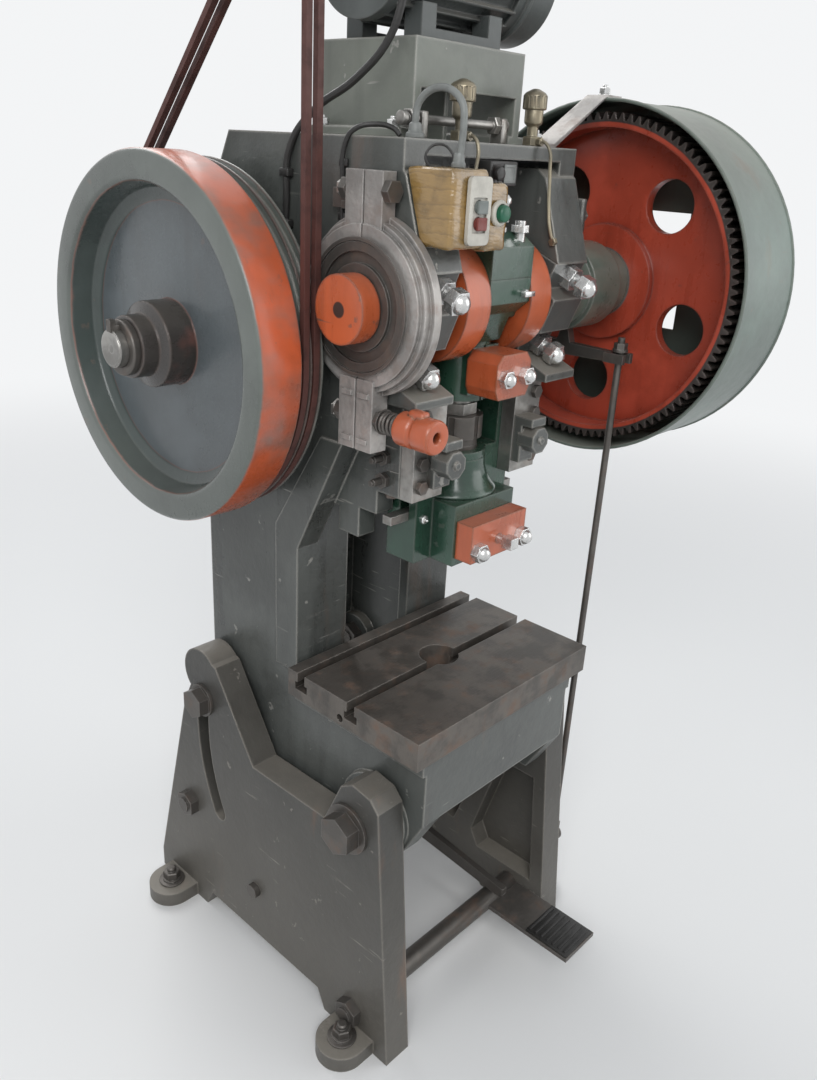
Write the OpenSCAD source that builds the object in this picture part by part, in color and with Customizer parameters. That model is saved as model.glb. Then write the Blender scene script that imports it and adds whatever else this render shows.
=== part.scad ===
// Open-back inclinable crank press of the 16 t class: a C-shaped cast frame that tilts
// between two cast legs, driven by a motor, V-belts, a flywheel and one pair of gears.
// Millimetres, +Z up, +X to the operator's right, the front faces -Y.
// The origin is on the floor, at the centre of the four anchor holes.

/* [Overall] */
// Height of the crankshaft axis above the floor
crank_h = 1270; // [1240:1:1330]
// Distance of the ram axis in front of the anchor centre
ram_front = 182; // [170:1:200]
// Distance between the front and the rear anchor holes
anchor_dy = 524; // [515:1:540]
// Working stroke of the ram
stroke = 70; // [60:1:74]

/* [Frame] */
// Distance from the centre plane to the outer side of a cheek
cheek_out = 190; // [188:1:198]
// Thickness of a cheek
cheek_t = 40; // [34:1:42]
// Distance from the ram axis to the front of the column
throat = 155; // [150:1:165]
// Depth of the column, front to back
column_d = 245; // [235:1:260]
// Height of the head above the crankshaft axis
head_up = 212; // [208:1:225]
// Height of the machined table above the floor
table_h = 604; // [590:1:615]
// Distance of the jaw below the crankshaft axis
jaw_drop = 330; // [322:1:338]
// Width of the opening in the back of the column
back_gap = 160; // [140:1:180]
// Thickness of the cast walls between the cheeks
wall = 22; // [16:1:25]

/* [Bolster] */
// Width of the bolster plate
bolster_w = 450; // [430:1:480]
// Depth of the bolster plate
bolster_d = 300; // [292:1:302]
// Thickness of the bolster plate
bolster_t = 50; // [45:1:60]
// Width of a T-slot at the top
slot_w = 18; // [14:1:20]
// Diameter of the die hole
die_hole_d = 70; // [50:1:90]

/* [Legs] */
// Thickness of a leg
leg_t = 55; // [48:1:62]
// Gap between a cheek and its leg
leg_gap = 10; // [8:1:14]
// Height of the pivot bolts above the floor
pivot_h = 449; // [440:1:455]
// Distance of the pivot bolts in front of the ram axis
pivot_front = 47; // [40:1:55]
// Radius of the clamp slot about the pivot
clamp_r = 400; // [392:1:406]
// Greatest tilt of the frame
tilt_max = 35; // [20:1:36]
// Diameter of the pivot bolts
pivot_d = 40; // [34:1:44]
// Diameter of the clamp bolts
clamp_d = 32; // [26:1:34]
// Diameter of the anchor holes
anchor_hole_d = 24; // [18:1:28]

/* [Crankshaft] */
// Diameter of the main journals
journal_d = 85; // [80:1:88]
// Diameter of the crank cheeks
web_d = 176; // [170:1:180]
// Diameter of the crank pin
pin_d = 72; // [64:1:76]
// Width of a main bearing
bearing_w = 74; // [70:1:76]
// Downward angle of the bearing caps
cap_tilt = 22; // [20:1:30]
// Outer diameter of the bearing bushes
bush_d = 94; // [93:1:98]

/* [Rod and ram] */
// Width of the rod's big end
rod_w = 94; // [86:1:95]
// Depth of the rod's big end, front to back
rod_depth = 168; // [164:1:176]
// Diameter of the ball screw's thread
screw_d = 48; // [42:1:50]
// Diameter of the ball
ball_d = 62; // [56:1:64]
// Half width of the ram over its guide ribs
ram_half = 110; // [106:1:112]
// Distance of the ram's lower face below the crankshaft axis at the top of the stroke
ram_drop = 400; // [396:1:404]
// Diameter of the shank hole
shank_d = 40; // [32:1:42]
// Depth of the shank hole
shank_depth = 60; // [50:1:64]
// Running gap between sliding and turning faces
run_gap = 0.3; // [0.2:0.05:0.4]

/* [Gears] */
// Module of the gear pair
gear_m = 5; // [4.9:0.05:5.05]
// Number of teeth of the bull gear
gear_n = 107; // [106:1:108]
// Number of teeth of the pinion
pinion_n = 26; // [24:1:27]
// Face width of the bull gear
face_w = 80; // [70:1:86]
// Distance from the centre plane to the gear's near face
gear_x = 336; // [334:1:340]
// Diameter of the holes in the gear's web
web_hole_d = 86; // [70:1:96]
// Radius of the circle of web holes
web_hole_r = 172; // [165:1:178]

/* [Flywheel] */
// Diameter of the flywheel
fly_d = 544; // [530:1:550]
// Width of the flywheel's rim
rim_w = 117; // [112:1:120]
// Distance from the centre plane to the flywheel's outer face
fly_x = 349; // [349:1:356]
// Height of the back shaft below the crankshaft
shaft_drop = 90; // [80:1:100]
// Diameter of the back shaft
shaft_d = 55; // [48:1:60]

/* [Motor] */
// Height of the motor axis above the crankshaft
motor_up = 440; // [436:1:450]
// Distance of the motor axis behind the ram axis
motor_back = 110; // [100:1:125]
// Diameter of the motor's ribbed shell
motor_d = 176; // [165:1:180]
// Pitch diameter of the motor pulley
pulley_d = 100; // [90:1:112]

/* [Hidden] */
$fn = 48;

// Overlap of joined lumps and reach of cutting tools past a face
lap = 1;
// Clearance of a bolt or shaft in its hole
fit_gap = 0.05;

ram_y = -ram_front;
cheek_in = cheek_out - cheek_t;
column_back = throat + column_d;
jaw_h = crank_h - jaw_drop;
jaw_gap = jaw_h - table_h;
bolster_top = table_h + bolster_t;
leg_in = cheek_out + leg_gap;
leg_out = leg_in + leg_t;
head_front = 42;
// Slope of the head's lower edge, the rim's width, and the housings' upper corners
slope_y = 25;
slope_z = 184;
low_corner = crank_h - 412;
rim_band = 56;
house_top = 182;
house_low = 50;
anchor_x = leg_out + 32;
front_foot_y = -ram_y - anchor_dy / 2;
rear_foot_y = -ram_y + anchor_dy / 2;
clamp_a0 = 8;
clamp_slot_w = clamp_d + 2;
throw = stroke / 2;
pin_z = throw;
web_in = rod_w / 2 + run_gap;
web_out = 98;
house_x0 = cheek_out - bearing_w - 4;
house_x1 = cheek_out - 4;
house_front = 85;
cap_stud_r = 10;
cap_stud_gap = bush_d + 2 * cap_stud_r + 3;
cap_half = cap_stud_gap / 2 + 19;
cap_t = 80;
drum_x = cheek_out + run_gap;
drum_w = 34;
drum_r = 85;
band_r = 121;
crank_left = cheek_out + 68;
crank_right = gear_x + face_w + 54;
gear_shaft_d = journal_d - 5;
gear_pr = gear_m * gear_n / 2;
pinion_pr = gear_m * pinion_n / 2;
centre_d = gear_pr + pinion_pr;
shaft_dy = sqrt(centre_d * centre_d - shaft_drop * shaft_drop);
mesh_a = atan2(-shaft_drop, shaft_dy);
hub_flange_r = 98;
web_x0 = gear_x + 48;
web_t = 20;
guard_r = gear_pr + gear_m + 18;
guard_x0 = gear_x - 14;
guard_x1 = gear_x + face_w + 85;
guard_t = 3;
pinion_guard_r = pinion_pr + gear_m + 22;
fly_r = fly_d / 2;
belt_x = fly_x - rim_w + 22;
belt_gap = 19;
belt_w = 10;
belt_t = 9;
fly_belt_r = fly_r - 12;
pulley_r = pulley_d / 2;
bracket_top = motor_up - motor_d / 2 - 17;
guide_top = -120;
gib_top = -131;
guide_low = -282;
gib_front = 51;
flange_front = 25;
flange_back = 35;
ram_bot = -ram_drop;
ram_boss_z = ram_bot + 169;
ball_z = ram_bot + 138;
rod_low = -150;
clamp_front = 104;
clamp_back = 46;
shank_face = 72;
shank_front = 105;
bar_z = ram_bot + 68;
bar_h = 14;
bar_half = 9;
bar_lift = 14;
collar_r = 72;
trip_x = gear_x - 51;
trip_pivot_y = 60;
trip_z = -collar_r - 34;
pull_y = -110;
treadle_y = 200;
treadle_h = 150;
treadle_arm_t = 14;
box_front = 125;
box_x0 = -cheek_out;
box_x1 = -117.5;
box_z0 = 84;
box_z1 = 180;
// Front of the housings at a height above the crankshaft axis
function slope_front(z) = -house_front + (house_front - head_front - 4) * (z - house_low)
    / (house_top - 12 - house_low);
button_front = 122;

// Place children at the ram axis, at floor height
module at_ram() translate([0, ram_y, 0]) children();
// Place children on the crankshaft axis
module at_crank() translate([0, ram_y, crank_h]) children();
// Place children on the back shaft axis
module at_shaft() translate([0, ram_y + shaft_dy, crank_h - shaft_drop]) children();
// Place children on the motor axis
module at_motor() translate([0, ram_y + motor_back, crank_h + motor_up]) children();
// Place children on the axis of the pivot bolts
module at_pivot() translate([0, ram_y - pivot_front, pivot_h]) children();
// Children and their mirror image in the centre plane
module both() {
    children();
    mirror([1, 0, 0]) children();
}
module box(x0, x1, y0, y1, z0, z1) translate([x0, y0, z0]) cube([x1 - x0, y1 - y0, z1 - z0]);
module rod_x(r, x0, x1) translate([x0, 0, 0]) rotate([0, 90, 0]) cylinder(r = r, h = x1 - x0);
module rod_y(r, y0, y1) translate([0, y1, 0]) rotate([90, 0, 0]) cylinder(r = r, h = y1 - y0);
module rod_z(r, z0, z1) translate([0, 0, z0]) cylinder(r = r, h = z1 - z0);
// A flat profile in Y and Z, from x0 to x1
module plate_x(x0, x1) translate([x0, 0, 0]) rotate([90, 0, 90]) linear_extrude(x1 - x0) children();
// A flat profile in X and Z, from y0 to y1
module plate_y(y0, y1) translate([0, y1, 0]) rotate([90, 0, 0]) linear_extrude(y1 - y0) children();
module hex(af, z0, z1) translate([0, 0, z0]) cylinder(r = af / sqrt(3), h = z1 - z0, $fn = 6);
// Domed nut seated at z0, pointing up
module dome_nut(d, z0) {
    hex(1.6 * d, z0, z0 + 0.8 * d);
    intersection() {
        translate([0, 0, z0 + 0.7 * d]) sphere(r = 0.72 * d);
        rod_z(0.8 * d, z0 + 0.4 * d, z0 + 1.6 * d);
    }
}
// Washer and hexagon head seated at z0, pointing up
module hex_head(d, z0) {
    rod_z(1.1 * d, z0, z0 + 0.14 * d);
    hex(1.5 * d, z0 + 0.14 * d, z0 + 0.8 * d);
}
// Ring-shaped strip about the origin between two angles under 180 degrees apart
module arc_slot(r, w, a0, a1) {
    far = 2 * r;
    intersection() {
        difference() {
            circle(r = r + w / 2);
            circle(r = r - w / 2);
        }
        polygon([[0, 0], far * [cos(a0), sin(a0)], far * [cos((a0 + a1) / 2), sin((a0 + a1) / 2)],
            far * [cos(a1), sin(a1)]]);
    }
    for (a = [a0, a1]) translate(r * [cos(a), sin(a)]) circle(r = w / 2);
}
// Outline of a belt round two pulleys: a of radius ra at the origin, b of radius rb at p.
// Its straight sides run inside the circles by ia and ib, so that they cross them cleanly.
module belt_outline(p, ra, rb, ia = 0.05, ib = 0.05) {
    lean = atan2(p[1], p[0]);
    open = acos((ra - ia - rb + ib) / norm(p));
    function on(r, a) = r * [cos(a), sin(a)];
    circle(r = ra);
    translate(p) circle(r = rb);
    polygon([on(ra - ia, lean + open), p + on(rb - ib, lean + open),
        p + on(rb - ib, lean - open), on(ra - ia, lean - open)]);
}
// Involute helpers: roll angle and half tooth angle at radius r, in degrees
function roll(rb, r) = let (a = acos(min(1, rb / r))) tan(a) * 180 / PI - a;
function half_tooth(m, n, slack, r) = let (pr = m * n / 2, rb = pr * cos(20))
    90 / n - slack / (2 * pr) * 180 / PI + roll(rb, pr) - roll(rb, max(r, rb));
// Spur gear outline with its first tooth on the angle turn
module gear_outline(m, n, slack, turn) {
    pr = m * n / 2;
    radii = [pr - 1.25 * m, pr, pr + m];
    steps = concat([for (r = radii) [r, -half_tooth(m, n, slack, r)]],
        [for (k = [2, 1, 0]) [radii[k], half_tooth(m, n, slack, radii[k])]]);
    polygon([for (i = [0:n - 1]) for (s = steps)
        let (a = turn + 360 * i / n + s[1]) s[0] * [cos(a), sin(a)]]);
}
// Round tube of radius r along the points, with n sides; up is a direction it never takes
function unit(v) = v / norm(v);
module tube(pts, r, n, up) {
    last = len(pts) - 1;
    rings = [for (i = [0:last]) let (t = unit(pts[min(i + 1, last)] - pts[max(i - 1, 0)]),
        u = unit(cross(t, up)), v = cross(t, u)) for (k = [0:n - 1])
        pts[i] + r * (cos(360 * k / n) * u + sin(360 * k / n) * v)];
    walls = [for (i = [0:last - 1]) for (k = [0:n - 1]) let (q = (k + 1) % n) for (f = [0, 1])
        f == 0 ? [i * n + k, i * n + q, (i + 1) * n + q]
            : [i * n + k, (i + 1) * n + q, (i + 1) * n + k]];
    polyhedron(rings, concat([[for (k = [n - 1:-1:0]) k]], walls,
        [[for (k = [0:n - 1]) last * n + k]]));
}

// Legs

// Side outline of a leg, measured from the ram axis and the floor
module leg_outline() {
    py = -pivot_front;
    rear_y = clamp_r * cos(clamp_a0) - pivot_front;
    rear_z = clamp_r * sin(clamp_a0) + pivot_h;
    difference() {
        union() {
            polygon([[front_foot_y - 80, 0], [py - 65, pivot_h + 62], [py - 46, pivot_h + 82],
                [py - 5, pivot_h + 88], [py + 20, pivot_h + 72], [py + 58, pivot_h - 14],
                [rear_y - 146, pivot_h - 18], [rear_y - 40, rear_z + 84], [rear_y, rear_z + 95],
                [rear_y + 62, rear_z - 30], [rear_foot_y + 80, 45], [rear_foot_y + 80, 0]]);
            translate([rear_y + 6, rear_z + 52]) circle(r = 50);
        }
        polygon([[front_foot_y + 80, -lap], [front_foot_y + 100, 40], [rear_foot_y - 100, 40],
            [rear_foot_y - 80, -lap]]);
    }
}
// Round foot pad beside the leg, with room for the anchor nut
module foot_pad() {
    box(leg_in, anchor_x, -46, 46, 0, 30);
    translate([anchor_x, 0, 0]) rod_z(46, 0, 30);
}
module leg() at_ram() {
    difference() {
        union() {
            plate_x(leg_in, leg_out) leg_outline();
            for (y = [front_foot_y, rear_foot_y]) translate([0, y, 0]) foot_pad();
        }
        // Hollow inner side between rims, left thick round the pivot and the slot
        plate_x(leg_in - lap, leg_out - 16) {
            polygon([[front_foot_y - 40, 95], [-100, 340], [-20, 340], [40, 130], [20, 95]]);
            polygon([[90, 130], [50, 240], [140, 300], [215, 130]]);
        }
        for (y = [front_foot_y, rear_foot_y]) translate([anchor_x, y, 0])
            rod_z(anchor_hole_d / 2, -lap, 31);
        translate([0, -pivot_front, pivot_h]) {
            rod_x(pivot_d / 2 + fit_gap, leg_in - lap, leg_out + 9);
            plate_x(leg_in - lap, leg_out + lap)
                arc_slot(clamp_r, clamp_slot_w, clamp_a0, clamp_a0 - tilt_max);
        }
        for (p = tie_places) translate([0, p[0], p[1]])
            rod_x(tie_r + fit_gap, leg_in - lap, leg_out + lap);
        translate([0, treadle_y, treadle_h]) rod_x(14 + fit_gap, leg_in - lap, leg_out + lap);
    }
}
tie_r = 15;
tie_places = [[-70, 62], [rear_foot_y - 40, 240]];
module left_leg() color([0.27, 0.26, 0.25]) mirror([1, 0, 0]) leg();
module right_leg() color([0.27, 0.26, 0.25]) leg();
// Two tie rods with shoulders inside the legs and nuts outside
module tie_rods() color([0.35, 0.33, 0.31]) at_ram() for (p = tie_places)
    translate([0, p[0], p[1]]) {
        rod_x(tie_r, -leg_out - 22, leg_out + 22);
        rod_x(tie_r + 5, -leg_in, leg_in);
        both() translate([leg_out, 0, 0]) rotate([0, 90, 0]) hex(46, 0, 18);
    }

// Frame

// Outline of a cheek, measured from the ram axis and the floor
module cheek_outline() {
    top = crank_h + head_up;
    corner = 50;
    difference() {
        polygon([[-throat + 5, table_h], [-throat + 5, table_h - 130], [-110, 400],
            [column_back - 20, 400], [column_back, 430], [column_back, crank_h + 60],
            [column_back - 80, top], [-head_front, top], [-head_front, crank_h - 128],
            [slope_y, crank_h - 128], [slope_y + 18, crank_h - slope_z], [throat, low_corner],
            [throat, table_h]]);
        // The throat, with a round corner above the table
        translate([-2 * throat, table_h]) square([3 * throat - corner, 2 * corner]);
        translate([-2 * throat, table_h + corner]) square([3 * throat, jaw_gap - 130]);
        translate([throat - corner, table_h + corner]) circle(r = corner);
    }
}
// Raised rim along the front edge of the column and up the slope of the head
module edge_rim() both() at_ram() plate_x(cheek_out - lap, cheek_out + 4)
    polygon([[throat, table_h + 20], [throat, low_corner], [slope_y + 30, crank_h - slope_z - 25],
        [slope_y + 78, crank_h - slope_z - 25], [throat + rim_band, low_corner + 30],
        [throat + rim_band, table_h + 20]]);
module main_housings() both() at_crank() plate_x(house_x0, cheek_out)
    polygon([[-head_front + 12, house_top], [-head_front - 4, house_top - 12],
        [-house_front, house_low], [-house_front, -130], [105, -130], [105, house_top]]);
module head_walls() at_ram() {
    top = crank_h + head_up;
    // Top plate and the cross wall behind the crank
    box(-cheek_out, cheek_out, -head_front, column_back - 80, top - 20, top);
    box(-cheek_in - lap, cheek_in + lap, 102, 102 + wall, jaw_h, crank_h + 40);
    // Slide ways: side blocks and rear blocks on both sides of the ram
    both() {
        box(ram_half + 5, cheek_in + lap, -flange_front, flange_back + run_gap + lap,
            crank_h + guide_low, crank_h + guide_top);
        box(84, cheek_in + lap, flange_back + run_gap, 103, crank_h + guide_low,
            crank_h + guide_top);
        box(ram_half + 5, cheek_in + lap, 58, 103, jaw_h - 40, crank_h + guide_low + lap);
        box(ram_half + 5, cheek_in + lap, 20, 103, jaw_h + 10, crank_h + guide_low + lap);
    }
}
module column_walls() at_ram() both() {
    box(back_gap / 2, cheek_in + lap, throat, throat + wall, table_h - 30, jaw_h + 40);
    box(back_gap / 2, cheek_in + lap, column_back - wall, column_back, 430, crank_h + 60);
}
module bed_walls() at_ram() difference() {
    union() {
        box(-cheek_out - 8, cheek_out + 8, -throat + 5, throat, table_h - 30, table_h);
        box(-cheek_in - lap, cheek_in + lap, -throat + 5, -throat + 5 + wall, table_h - 130, table_h);
        box(-cheek_in - lap, cheek_in + lap, throat - wall, throat, 430, table_h);
        for (s = [-1, 1]) box(s * 100 - 9, s * 100 + 9, -throat + 10, throat - 5,
            table_h - 90, table_h - lap);
    }
    rod_z(60, table_h - 40, table_h + lap);
    for (p = bolt_places) translate([p[0], p[1], 0])
        rod_z(8 + fit_gap, table_h - 40, table_h + lap);
}
module frame_casting() color([0.30, 0.33, 0.31]) difference() {
    union() {
        both() at_ram() plate_x(cheek_in, cheek_out) cheek_outline();
        edge_rim();
        main_housings();
        head_walls();
        column_walls();
        bed_walls();
        both() {
            at_pivot() rod_x(72, cheek_out - lap, leg_in - run_gap);
            at_clamp() rod_x(46, cheek_out - lap, leg_in - run_gap);
            at_clamp() rod_x(46, cheek_in - 20, cheek_in + lap);
        }
    }
    both() {
        // Seats of the caps, open to the front and below
        at_crank() rotate([90 + cap_tilt, 0, 0])
            box(house_x0 - lap, cheek_out + lap, -cap_half - 0.2, cap_half + 0.2, 0, 145);
        at_crank() rod_x(bush_d / 2, house_x0 - lap, cheek_out + lap);
        at_crank() for (s = [-1, 1]) rotate([90 + cap_tilt, 0, 0])
            translate([cap_x, s * cap_stud_gap / 2, 0]) rod_z(cap_stud_r + fit_gap, -45, lap);
        at_shaft() rod_x(shaft_d / 2 + 6, cheek_in - lap, cheek_out + lap);
        at_pivot() rod_x(pivot_d / 2 + fit_gap, cheek_in - lap, leg_in + lap);
        at_clamp() rod_x(clamp_d / 2 + fit_gap, cheek_in - 21, leg_in + lap);
    }
}
bolster_mid = throat - 15 - bolster_d / 2;
cap_x = (house_x0 + cheek_out) / 2;
module at_clamp() translate([0, ram_y - pivot_front + clamp_r * cos(clamp_a0),
    pivot_h + clamp_r * sin(clamp_a0)]) children();
module pivot_bolts() color([0.42, 0.41, 0.40]) both() at_pivot() {
    rod_x(pivot_d / 2, cheek_in - 28, leg_out + 12);
    translate([leg_out + run_gap, 0, 0]) rotate([0, 90, 0]) hex_head(pivot_d, 0);
    translate([cheek_in, 0, 0]) rotate([0, -90, 0]) hex_head(pivot_d, 0);
}
module clamp_bolts() color([0.42, 0.41, 0.40]) both() at_clamp() {
    rod_x(clamp_d / 2, cheek_in - 45, leg_out + 6);
    translate([leg_out + run_gap, 0, 0]) rotate([0, 90, 0]) {
        rod_z(clamp_d, 0, 6);
        hex(50, 6, 26);
    }
    translate([cheek_in - 20, 0, 0]) rotate([0, -90, 0]) hex(50, 0, 22);
}
hump = cap_stud_gap / 2 - 22;
module cap_body(x0, x1) difference() {
    rotate([90 + cap_tilt, 0, 0]) difference() {
        union() {
            box(x0, x1, -cap_half, cap_half, 0, cap_t - 24);
            plate_x(x0, x1) polygon([[-hump + 8, cap_t], [-hump, cap_t - 25],
                [hump, cap_t - 25], [hump - 8, cap_t]]);
        }
        for (s = [-1, 1]) translate([(x0 + x1) / 2, s * cap_stud_gap / 2, 0])
            rod_z(cap_stud_r + fit_gap, -lap, cap_t + lap);
    }
    rod_x(bush_d / 2, x0 - lap, x1 + lap);
}
module bearing_caps() color([0.36, 0.37, 0.36]) at_crank() both() cap_body(house_x0, cheek_out);
module cap_studs() color([0.72, 0.72, 0.74]) at_crank() both() for (s = [-1, 1])
    rotate([90 + cap_tilt, 0, 0]) translate([cap_x, s * cap_stud_gap / 2, 0]) {
        rod_z(cap_stud_r, -44, cap_t + 20);
        hex(32, cap_t - 24, cap_t - 3);
        dome_nut(2 * cap_stud_r, cap_t + 8);
    }
module main_bushes() color([0.62, 0.48, 0.25]) at_crank() both() difference() {
    union() {
        rod_x(bush_d / 2 - fit_gap, web_out + run_gap, cheek_out);
        rod_x(bush_d / 2 + 7, web_out + run_gap, house_x0 - 0.2);
    }
    rod_x(journal_d / 2 + 0.06, web_out, cheek_out + lap);
}

// Bolster with two T-slots, a die hole and eyebolt holes in its sides
module bolster_plate() color([0.42, 0.39, 0.35]) at_ram() difference() {
    box(-bolster_w / 2, bolster_w / 2, bolster_mid - bolster_d / 2, bolster_mid + bolster_d / 2,
        table_h, bolster_top);
    for (y = [-12, bolster_mid + bolster_d / 2 - 32]) {
        box(-bolster_w, bolster_w, y - slot_w / 2, y + slot_w / 2, bolster_top - 20,
            bolster_top + lap);
        box(-bolster_w, bolster_w, y - slot_w / 2 - 6, y + slot_w / 2 + 6, bolster_top - 32,
            bolster_top - 18);
    }
    rod_z(die_hole_d / 2, table_h - lap, bolster_top + lap);
    both() translate([0, 12, table_h + 13]) rod_x(7, bolster_w / 2 - 30, bolster_w / 2 + lap);
    for (p = bolt_places) translate([p[0], p[1], 0])
        rod_z(8 + fit_gap, table_h - lap, table_h + 16);
}
bolt_places = [for (x = [-1, 1], y = [-1, 1]) [x * (cheek_in - 22), bolster_mid + y * 98]];
module bolster_bolts() color([0.33, 0.32, 0.31]) at_ram() for (p = bolt_places)
    translate([p[0], p[1], table_h - 30]) {
        rod_z(8, 0, 44);
        rotate([180, 0, 0]) hex(24, 0, 10);
    }

// Gibs: a front keeper and a side strip on each side of the ram
module gibs() color([0.40, 0.40, 0.38]) at_crank() both() {
    difference() {
        box(84, cheek_in, -gib_front, -flange_front - run_gap, guide_low, gib_top);
        for (z = gib_zs) translate([134, 0, z]) rod_y(6 + fit_gap, -gib_front - lap, 0);
    }
    box(ram_half + run_gap, ram_half + 5, -flange_front + lap, flange_back, guide_low, gib_top);
}
gib_zs = [for (k = [0:3]) guide_low + 22 + k * (gib_top - guide_low - 44) / 3];
// Keeper screws at the front, gib screws at the side with lock nuts, and the knock-out stops
module adjusting_screws() color([0.30, 0.27, 0.24]) at_crank() both() {
    for (z = gib_zs) translate([134, 0, z]) {
        rod_y(6, -gib_front - lap, -flange_front - run_gap);
        translate([0, -gib_front, 0]) rotate([90, 0, 0]) hex(19, 0, 8);
    }
    for (z = [gib_zs[0], gib_zs[1]]) translate([cheek_in + lap, 6, z]) rotate([0, 90, 0]) {
        hex(22, 0, 9);
        rod_z(6, 9, 26);
        rod_z(4.5, 26, 30);
    }
    translate([132, 6, 0]) rotate([180, 0, 0]) hex(22, -guide_low, -guide_low + 9);
}
// Bracket castings on the keepers, each with an eight-sided end block
module guide_brackets() color([0.33, 0.35, 0.33]) at_crank() both() {
    translate([104, 0, -222]) plate_y(-gib_front - 42, -gib_front - 10) rotate(22.5)
        circle(r = 22, $fn = 8);
    translate([0, -gib_front, 0]) {
        box(86, 122, -16, 0, -262, -186);
        box(86, 122, -36, 0, -200, -186);
    }
    translate([104, 0, -222]) rod_y(6, -gib_front - 46, -gib_front - 40);
}

// Guard over the gears: a band, a side sheet with a window, and the bulge over the pinion
module guard_outline(grow) {
    far = [shaft_dy, -shaft_drop];
    belt_outline(far, guard_r + grow, pinion_guard_r + grow, 6, 2);
}
module gear_guard() color([0.30, 0.40, 0.35]) at_crank() difference() {
    plate_x(guard_x0, guard_x1) guard_outline(0);
    plate_x(guard_x0 - lap, guard_x1 - guard_t) guard_outline(-guard_t);
    box(guard_x1 - 5, guard_x1 + lap, -90, 90, -82, 120);
}
// Flat straps that carry the guard: one from the head, two from the right cheek
module guard_straps() color([0.62, 0.64, 0.60]) at_crank() {
    top_z = head_up;
    seat = guard_r;
    translate([0, 20, 0]) plate_y(-20, 20) polygon([[cheek_out - 45, top_z],
        [cheek_out - 45, top_z + 6], [cheek_out, top_z + 6], [guard_x0 + 4, seat + 6],
        [guard_x0 + 45, seat + 6], [guard_x0 + 45, seat + 0.1], [guard_x0 - 1, seat + 0.1],
        [cheek_out + 2, top_z]]);
    for (z = strap_zs) translate([0, strap_y, 0])
        plate_y(0, 6) polygon([[cheek_out, z], [guard_x0 - 0.2, z], [guard_x0 - 0.2, z + 40],
            [cheek_out, z + 40]]);
    for (z = strap_zs) {
        box(cheek_out, cheek_out + 6, strap_y, strap_y + 46, z, z + 40);
        box(guard_x0 - 6, guard_x0 - 0.2, strap_y - 60, strap_y + 6, z, z + 40);
    }
}
strap_y = 262;
strap_zs = [-215, 60];

// Band brake: two cast shoes round the drum, bolted by their lugs

// One half of the band; s is 1 for the rear half and -1 for the front half
module shoe(s) difference() {
    union() {
        rod_x(band_r - 14, -drum_x - drum_w + 4, -drum_x);
        rod_x(band_r, -drum_x - 13, -drum_x);
        rod_x(band_r - 7, -drum_x - 24, -drum_x);
        box(-drum_x - drum_w + 6, -drum_x - 4, s > 0 ? 0 : -34, s > 0 ? 34 : 0, 95, 172);
        box(-drum_x - drum_w + 2, -drum_x - 2, s > 0 ? 0 : -33, s > 0 ? 33 : 0, -196, -95);
        for (z = [-185, -120]) box(-drum_x - drum_w - 1, -drum_x - 2, s > 0 ? 6 : -26,
            s > 0 ? 26 : -6, z, z + 7);
    }
    rod_x(drum_r + 0.4, -drum_x - 80, 0);
    box(-drum_x - 80, 0, s > 0 ? -300 : -1.5, s > 0 ? 1.5 : 300, -300, 300);
    translate([brake_x, 0, 148]) rod_y(8 + fit_gap, -60, 60);
    translate([brake_x, 0, brake_z]) rod_y(8 + fit_gap, -60, 60);
}
brake_x = -drum_x - drum_w / 2;
brake_z = -150;
module brake_rear_shoe() color([0.48, 0.46, 0.44]) at_crank() shoe(1);
module brake_front_shoe() color([0.50, 0.48, 0.46]) at_crank() shoe(-1);
// Top bolt, bottom draw bolt, and the anchor stud in the cheek
module brake_bolts() color([0.40, 0.38, 0.36]) at_crank() {
    translate([brake_x, 0, 148]) {
        rod_y(8, -46, 46);
        for (s = [-1, 1]) translate([0, s * 34, 0]) rotate([-s * 90, 0, 0]) hex(26, 0, 12);
    }
    translate([brake_x, 0, brake_z]) {
        rod_y(8, -128, 46);
        translate([0, 33, 0]) rotate([-90, 0, 0]) hex(26, 0, 13);
        translate([0, -33, 0]) rotate([90, 0, 0]) hex(26, 0, 10);
        // Washers at both ends of the spring
        rod_y(18, spring_y0 - 0.6, spring_y0 + 1.2);
        rod_y(18, spring_y1 - 0.6, spring_y1 + 0.8);
    }
    box(-drum_x - drum_w + 10, -cheek_out, 34, 46, band_r + 1, band_r + 11);
    box(-cheek_out - 12, -cheek_out, 34, 76, band_r + 1, band_r + 26);
}
spring_y0 = -44;
spring_y1 = -76;
module brake_spring() color([0.35, 0.33, 0.32]) at_crank() translate([brake_x, 0, brake_z]) {
    turns = 4;
    steps = 48;
    rise = spring_y1 - spring_y0 + 5.6;
    tube([for (i = [0:steps]) let (a = 360 * turns * i / steps)
        [14 * cos(a), spring_y0 - 2.8 + rise * i / steps, 14 * sin(a)]], 2.6, 6, [0, 1, 0]);
}
// Stepped adjusting sleeve with a cam bump on its top
module brake_sleeve() color([0.75, 0.27, 0.13]) at_crank() translate([brake_x, 0, brake_z])
    difference() {
        union() {
            rod_y(24, -142, spring_y1 - 0.6);
            translate([0, 0, 6]) rod_y(24, -122, -92);
        }
        rod_y(8 + fit_gap, -130, -70);
        rod_y(6, -143, -129);
    }

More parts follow.
